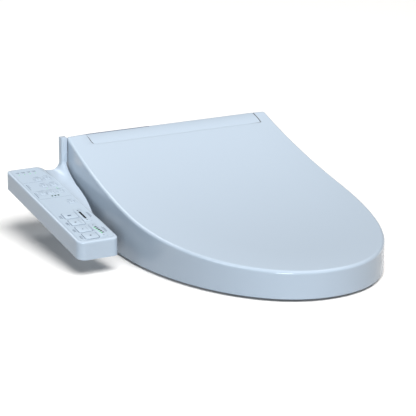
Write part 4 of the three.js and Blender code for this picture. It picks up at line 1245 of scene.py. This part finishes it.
def refined(node, body, finish, width):
    """A cleaned copy of a moulded node with its edges rounded."""
    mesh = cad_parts[node].data.copy()
    bm = bmesh.new()
    bm.from_mesh(mesh)
    bmesh.ops.remove_doubles(bm, verts=bm.verts, dist=2e-5)
    bmesh.ops.dissolve_limit(bm, angle_limit=math.radians(2), verts=bm.verts, edges=bm.edges)
    if node == "unit_base":
        lean_neck(bm)
    bm.to_mesh(mesh)
    bm.free()
    piece = bpy.data.objects.new(node + "_moulding", mesh)
    bpy.context.scene.collection.objects.link(piece)
    soften(piece, width, 35)
    settle(piece)
    finish_piece(piece, MAT[finish], body, (node,), 32)


# Node, body, finish and how far its edges are rounded.
REFINED = (
    ("unit_cover", "unit", "case", 1.4),
    ("unit_base", "unit", "case", 0.8),
    ("seat_bottom", "seat", "case", 0.5),
    ("mounting_plate", "mount", "grey", 0.8),
    ("nozzle_gate", "gate", "shell", 0.5),
    ("release_button", "release", "grey", 0.5),
    ("deodorizer_cartridge", "cartridge", "grey", 0.5),
    ("drain_plug", "drain", "grey", 0.5),
    ("heater_tank", "unit", "grey", 1.5),
    ("nozzle_housing", "unit", "grey", 0.4),
    ("power_module", "unit", "grey", 0.5),
    ("inlet_valve", "unit", "dark", 0.6),
    ("water_pump", "unit", "dark", 0.8),
    ("power_gland", "unit", "dark", 0.4),
    ("hinge_damper_left", "unit", "dark", 0.6),
    ("hinge_damper_right", "unit", "dark", 0.6),
    ("seat_bumper_front_left", "seat", "rubber", 1.2),
    ("seat_bumper_front_right", "seat", "rubber", 1.2),
    ("seat_bumper_rear_left", "seat", "rubber", 1.2),
    ("seat_bumper_rear_right", "seat", "rubber", 1.2),
    ("lid_bumper_left", "lid", "rubber", 1.0),
    ("lid_bumper_right", "lid", "rubber", 1.0),
)

# The nozzle's own frame: y runs back along it, from the place of its mouth.
NOZZLE = Matrix.Translation((0, -80, 22)) @ Matrix.Rotation(math.radians(35), 4, "X")


def turned(profile, matrix, sides=48):
    """A shape turned about the local y axis from (y, radius) points."""
    bm = bmesh.new()
    loops = []
    for y, r in profile:
        if r < 1e-6:
            loops.append([bm.verts.new((0, y, 0))])
            continue
        loops.append([bm.verts.new((r * math.cos(2 * math.pi * i / sides), y,
                                    r * math.sin(2 * math.pi * i / sides)))
                      for i in range(sides)])
    for a, b in zip(loops, loops[1:]):
        for i in range(sides):
            k = (i + 1) % sides
            quad = [a[i % len(a)], a[k % len(a)], b[k % len(b)], b[i % len(b)]]
            corners = [v for n, v in enumerate(quad) if v not in quad[:n]]
            if len(corners) > 2:
                bm.faces.new(corners)
    bm.transform(matrix)
    bm.transform(Matrix.Scale(MM, 4))
    return solid_mesh(bm)


WAND_R, SLEEVE_R, SLEEVE_BORE_R = 7.0, 9.0, 7.5
TIP_Y, SLEEVE_FRONT_Y, SLEEVE_REAR_Y = 42.0, 56.0, 150.0
TOOTH_PITCH = 3.14


def make_nozzle():
    """Tip with its groove and jets, wand with its tail, and sleeve with its rack."""
    tip = []
    for a in range(0, 91, 10):
        t = math.radians(a)
        tip.append((TIP_Y + WAND_R * (1 - math.cos(t)), WAND_R * math.sin(t)))
    tip += [(55.2, WAND_R), (55.6, 6.7), (56.2, 6.7), (56.6, WAND_R), (61.4, WAND_R),
            (61.7, 6.7), (61.7, 0.0)]
    merge_piece("nozzle_tip_dome", [turned(tip, NOZZLE)], MAT["grey"], "wand",
                ("nozzle_tip",), 40)
    jets = [rod("z", 0.9, -7.05, -6.6, x, y, 20, 0.1, NOZZLE)
            for x, y in ((0, 51), (-2.2, 53.4), (2.2, 53.4), (0, 58.6))]
    merge_piece("nozzle_jets", jets, MAT["lens"], "wand")
    wand = [(62, 0.0), (62, 6.6), (62.4, WAND_R), (143.4, WAND_R), (144, 6.4), (144, 3.0),
            (149.6, 3.0), (SLEEVE_REAR_Y, 2.6), (SLEEVE_REAR_Y, 0.0)]
    merge_piece("nozzle_wand_tube", [turned(wand, NOZZLE)], MAT["seat"], "wand",
                ("nozzle_wand",), 40)
    front, rear, bore = SLEEVE_FRONT_Y, SLEEVE_REAR_Y, SLEEVE_BORE_R
    sleeve = [(front, bore), (front, 8.6), (front + 0.4, SLEEVE_R), (rear - 0.4, SLEEVE_R),
              (rear, 8.6), (rear, bore), (front, bore)]
    bar = [(-2, 60), (2, 60), (2, rear), (-2, rear)]
    rack = [prism(bar, 7.8, 9.9, matrix=NOZZLE)]
    for y in np.arange(60.5, rear - 1, TOOTH_PITCH):
        tooth = [(-2, y), (2, y), (1.6, y + 1.2), (-1.6, y + 1.2)]
        rack.append(prism(tooth, 9.85, 11.0, matrix=NOZZLE))
    merge_piece("nozzle_sleeve_tube", [turned(sleeve, NOZZLE)] + rack, MAT["key"], "sleeve",
                ("nozzle_sleeve",), 40)


# ------------------------------------------------------------------ repeated slats and blades
def add_input(tree, name, kind, value):
    """A named input of the tree, with the value that it has when nothing is given."""
    socket = tree.interface.new_socket(name=name, in_out="INPUT", socket_type=kind)
    socket.default_value = value


def repeat_tree(name):
    """Slats in a row, or blades round an axis: one block repeated by shift and turn."""
    tree = bpy.data.node_groups.new(name, "GeometryNodeTree")
    add_input(tree, "Count", "NodeSocketInt", 4)
    add_input(tree, "Block Size", "NodeSocketVector", (0.001, 0.001, 0.001))
    add_input(tree, "First Place", "NodeSocketVector", (0, 0, 0))
    add_input(tree, "Step", "NodeSocketVector", (0, 0, 0))
    add_input(tree, "Lean", "NodeSocketVector", (0, 0, 0))
    add_input(tree, "Turn Step", "NodeSocketVector", (0, 0, 0))
    tree.interface.new_socket(name="Finish", in_out="INPUT", socket_type="NodeSocketMaterial")
    tree.interface.new_socket(name="Slats", in_out="OUTPUT", socket_type="NodeSocketGeometry")
    nodes, links = tree.nodes, tree.links
    given, out = nodes.new("NodeGroupInput"), nodes.new("NodeGroupOutput")
    block = nodes.new("GeometryNodeMeshCube")
    links.new(given.outputs["Block Size"], block.inputs["Size"])
    block.inputs["Vertices X"].default_value = 2
    shift = nodes.new("GeometryNodeTransform")
    links.new(block.outputs["Mesh"], shift.inputs["Geometry"])
    links.new(given.outputs["First Place"], shift.inputs["Translation"])
    links.new(given.outputs["Lean"], shift.inputs["Rotation"])
    line = nodes.new("GeometryNodeMeshLine")
    links.new(given.outputs["Count"], line.inputs["Count"])
    links.new(given.outputs["Step"], line.inputs["Offset"])
    index = nodes.new("GeometryNodeInputIndex")
    turn = nodes.new("ShaderNodeVectorMath")
    turn.operation = "SCALE"
    links.new(given.outputs["Turn Step"], turn.inputs[0])
    links.new(index.outputs[0], turn.inputs["Scale"])
    place = nodes.new("GeometryNodeInstanceOnPoints")
    links.new(line.outputs["Mesh"], place.inputs["Points"])
    links.new(shift.outputs["Geometry"], place.inputs["Instance"])
    links.new(turn.outputs["Vector"], place.inputs["Rotation"])
    real = nodes.new("GeometryNodeRealizeInstances")
    links.new(place.outputs["Instances"], real.inputs["Geometry"])
    dress = nodes.new("GeometryNodeSetMaterial")
    links.new(real.outputs["Geometry"], dress.inputs["Geometry"])
    links.new(given.outputs["Finish"], dress.inputs["Material"])
    links.new(dress.outputs["Geometry"], out.inputs["Slats"])
    return tree


def repeated(tree, name, body, finish, values, at, bevel, stands_for=(), extra=()):
    """Runs the tree with its named inputs, then keeps the result as a plain mesh."""
    holder = bpy.data.objects.new(name + "_row", bpy.data.meshes.new(name + "_row"))
    bpy.context.scene.collection.objects.link(holder)
    rows = holder.modifiers.new("rows", "NODES")
    rows.node_group = tree
    sockets = {s.name: s.identifier for s in tree.interface.items_tree if s.in_out == "INPUT"}
    for key, value in {**values, "Finish": MAT[finish]}.items():
        rows[sockets[key]] = value
    soften(holder, bevel, 40)
    settle(holder)
    mesh = holder.data
    mesh.transform(Matrix.Translation(Vector(at) * MM))
    bpy.data.objects.remove(holder)
    merge_piece(name, [mesh, *extra], MAT[finish], body, stands_for, 40)


BLADES, WHEEL = 26, (30, 38, 88)
# Name, body, finish, count, block, step along x, place of the first and edge radius.
ROWS = (
    ("cartridge_grille", "cartridge", "grey", 9, (1.2, 33, 2.0), 3.6, (45.6, 43, 34.2), 0.3),
    # the louvre's slats are coloured dark as painted shade along the strip's rear edge
    ("rear_louvre_slats", "unit", "rear_edge_shade", 22, (1.0, 0.9, 2.9), 5.0, (-141.5, 66.35, 136.0), 0.2),
    ("case_vent_slats", "unit", "grey", 12, (1.6, 0.8, 20), 4.4, (-82, 67.0, 78), 0.3),
    ("heater_tank_ribs", "unit", "grey", 7, (1.6, 64, 1.6), 10, (75, -30, 76.2), 0.4),
)


def make_repeats():
    """The wheel's blades round its hub and back plate, then the straight rows of slats."""
    tree = repeat_tree("slats_and_blades")
    _, wheel_y, wheel_z = WHEEL
    hub = rod_along_x(22, 38, 5, wheel_y, wheel_z, 40, 0.6)
    back_plate = rod_along_x(22, 23.6, 20.5, wheel_y, wheel_z, 64, 0.4)
    repeated(tree, "blower_blades", "blower", "grey",
             {"Count": BLADES, "Block Size": (14 * MM, 0.9 * MM, 6.4 * MM),
              "First Place": (0, 0, 17.0 * MM), "Lean": (math.radians(32), 0, 0),
              "Turn Step": (2 * math.pi / BLADES, 0, 0)},
             WHEEL, 0.15, ("blower_wheel",), [hub, back_plate])
    for name, body, finish, count, block, step, place, radius in ROWS:
        repeated(tree, name, body, finish,
                 {"Count": count, "Block Size": tuple(c * MM for c in block),
                  "First Place": (0, 0, 0), "Step": (step * MM, 0, 0)}, place, radius)


def make_inside():
    """The case and everything that the lid and the case hide."""
    for node, body, finish, width in REFINED:
        refined(node, body, finish, width)
    make_nozzle()
    make_repeats()


# ------------------------------------------------------------------ stage
FLOOR_HALF, FLOOR_Z = 14.0, -0.0006   # metres


def make_stage():
    """A wide, plain, pale floor just under the rim plane."""
    material, tree, shader, place = new_material("studio_floor")
    tone = spread(tree, noise(tree, place, 3.0), 0, 1)
    tree.links.new(mix(tree, tone, (0.95, 0.91, 0.87), (0.96, 0.92, 0.88)),
                   shader.inputs["Base Color"])
    shader.inputs["Roughness"].default_value = 0.9
    bm = bmesh.new()
    bmesh.ops.create_grid(bm, x_segments=1, y_segments=1, size=FLOOR_HALF)
    bmesh.ops.translate(bm, verts=bm.verts, vec=(0, 0, FLOOR_Z))
    mesh = bpy.data.meshes.new("floor")
    bm.to_mesh(mesh)
    bm.free()
    floor = bpy.data.objects.new("floor", mesh)
    floor.data.materials.append(material)
    bpy.context.scene.collection.objects.link(floor)
    floor.visible_diffuse = False


# Soft boxes: name, place and aim in metres, width, height, watts and colour.
SOFT_BOXES = (
    ("top_box", (0.9, -0.4, 2.0), (0, -0.2, 0.05), 0.9, 0.7, 4.0, (0.96, 0.98, 1)),
    ("rear_box", (-0.5, 1.5, 1.95), (-0.1, -0.1, 0.1), 1.2, 0.7, 9.0, (0.92, 0.96, 1)),
    ("left_box", (-2.2, -0.4, 1.3), (0, -0.1, 0.05), 1.1, 0.8, 9.5, (0.84, 0.92, 1)),
    ("front_box", (-1.7, -2.7, 0.5), (0, -0.3, 0.05), 0.9, 0.8, 47.0, (0.77, 0.89, 1)),
)


def add_area(name, place, aim, width, height, power, colour):
    """A rectangular soft box, turned towards its aim."""
    data = bpy.data.lights.new(name, "AREA")
    data.energy = power
    data.color = colour
    data.shape = "RECTANGLE"
    data.size = width
    data.size_y = height
    lamp = bpy.data.objects.new(name, data)
    lamp.location = place
    lamp.rotation_mode = "QUATERNION"
    lamp.rotation_quaternion = (Vector(aim) - Vector(place)).to_track_quat("-Z", "Y")
    bpy.context.scene.collection.objects.link(lamp)


def make_world():
    """Soft studio surround: dim from above, a little brighter from the floor side."""
    world = bpy.data.worlds.new("studio")
    world.use_nodes = True
    tree = world.node_tree
    back = tree.nodes["Background"]
    split = tree.nodes.new("ShaderNodeSeparateXYZ")
    tree.links.new(tree.nodes.new("ShaderNodeTexCoord").outputs["Generated"], split.inputs[0])
    height = spread(tree, split.outputs["Z"], 0.0, 1.0, -0.05, 0.05)
    tree.links.new(mix(tree, height, (0.085, 0.09, 0.10), (0.045, 0.05, 0.055)),
                   back.inputs["Color"])
    bpy.context.scene.world = world


def make_light():
    """One broad overhead light and four soft boxes."""
    scene = bpy.context.scene
    scene.view_settings.view_transform = "Standard"
    make_world()
    sun = bpy.data.lights.new("overhead", "SUN")
    sun.energy = 3.6
    sun.angle = math.radians(44)
    sun.color = (0.96, 0.98, 1.0)
    lamp = bpy.data.objects.new("overhead", sun)
    lamp.rotation_mode = "QUATERNION"
    lamp.rotation_quaternion = Vector((0.0, 0.55, -1.0)).to_track_quat("-Z", "Y")
    lamp.visible_glossy = False
    scene.collection.objects.link(lamp)
    for box in SOFT_BOXES:
        add_area(*box)


# ------------------------------------------------------------------ assembly
NODE_FINISH = {
    "grey": ["mounting_plate", "nozzle_tip", "nozzle_housing", "heater_tank", "drain_plug",
             "blower_wheel", "deodorizer_cartridge", "power_module", "release_button"],
    "case": ["unit_base", "unit_cover", "seat_bottom"],
    "shell": ["top_trim_strip", "control_arm_shell", "nozzle_gate", "lid"],
    "seat": ["seat_shell", "nozzle_wand"],
    "film": ["panel_film"],
    "key": ["stop_key", "rear_wash_key", "front_wash_key", "dryer_key", "power_key",
            "energy_saver_key", "deodorizer_key", "night_light_key", "water_heat_key",
            "seat_heat_key", "dryer_heat_key", "preset_key", "pressure_rocker",
            "position_rocker", "nozzle_sleeve"],
    "lens": ["pressure_display", "position_display"],
    "light": ["status_light_guide", "mode_light_guide", "level_light_guide"],
    "dark": ["hinge_damper_left", "hinge_damper_right", "drive_pinion", "water_pump",
             "inlet_valve", "blower_housing", "power_gland", "seat_switch"],
    "rubber": ["seat_bumper_front_left", "seat_bumper_front_right", "seat_bumper_rear_left",
               "seat_bumper_rear_right", "lid_bumper_left", "lid_bumper_right"],
    "steel": ["hinge_pin_left", "hinge_pin_right", "nozzle_motor"],
    "brass": ["water_inlet"],
    "foil": ["seat_heater"],
    "board": ["panel_board", "control_board"],
}


def dress_nodes():
    """Gives every node of the frame its finish."""
    for finish, names in NODE_FINISH.items():
        for name in names:
            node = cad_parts[name]
            node.data.materials.clear()
            node.data.materials.append(MAT[finish])


make_camera()
make_stage()
make_light()
dress_nodes()
make_lid()
make_strip()
make_rear_shade_sheet()
make_gap_shade_sheet()
make_arm()
make_panel()
make_seat()
make_inside()
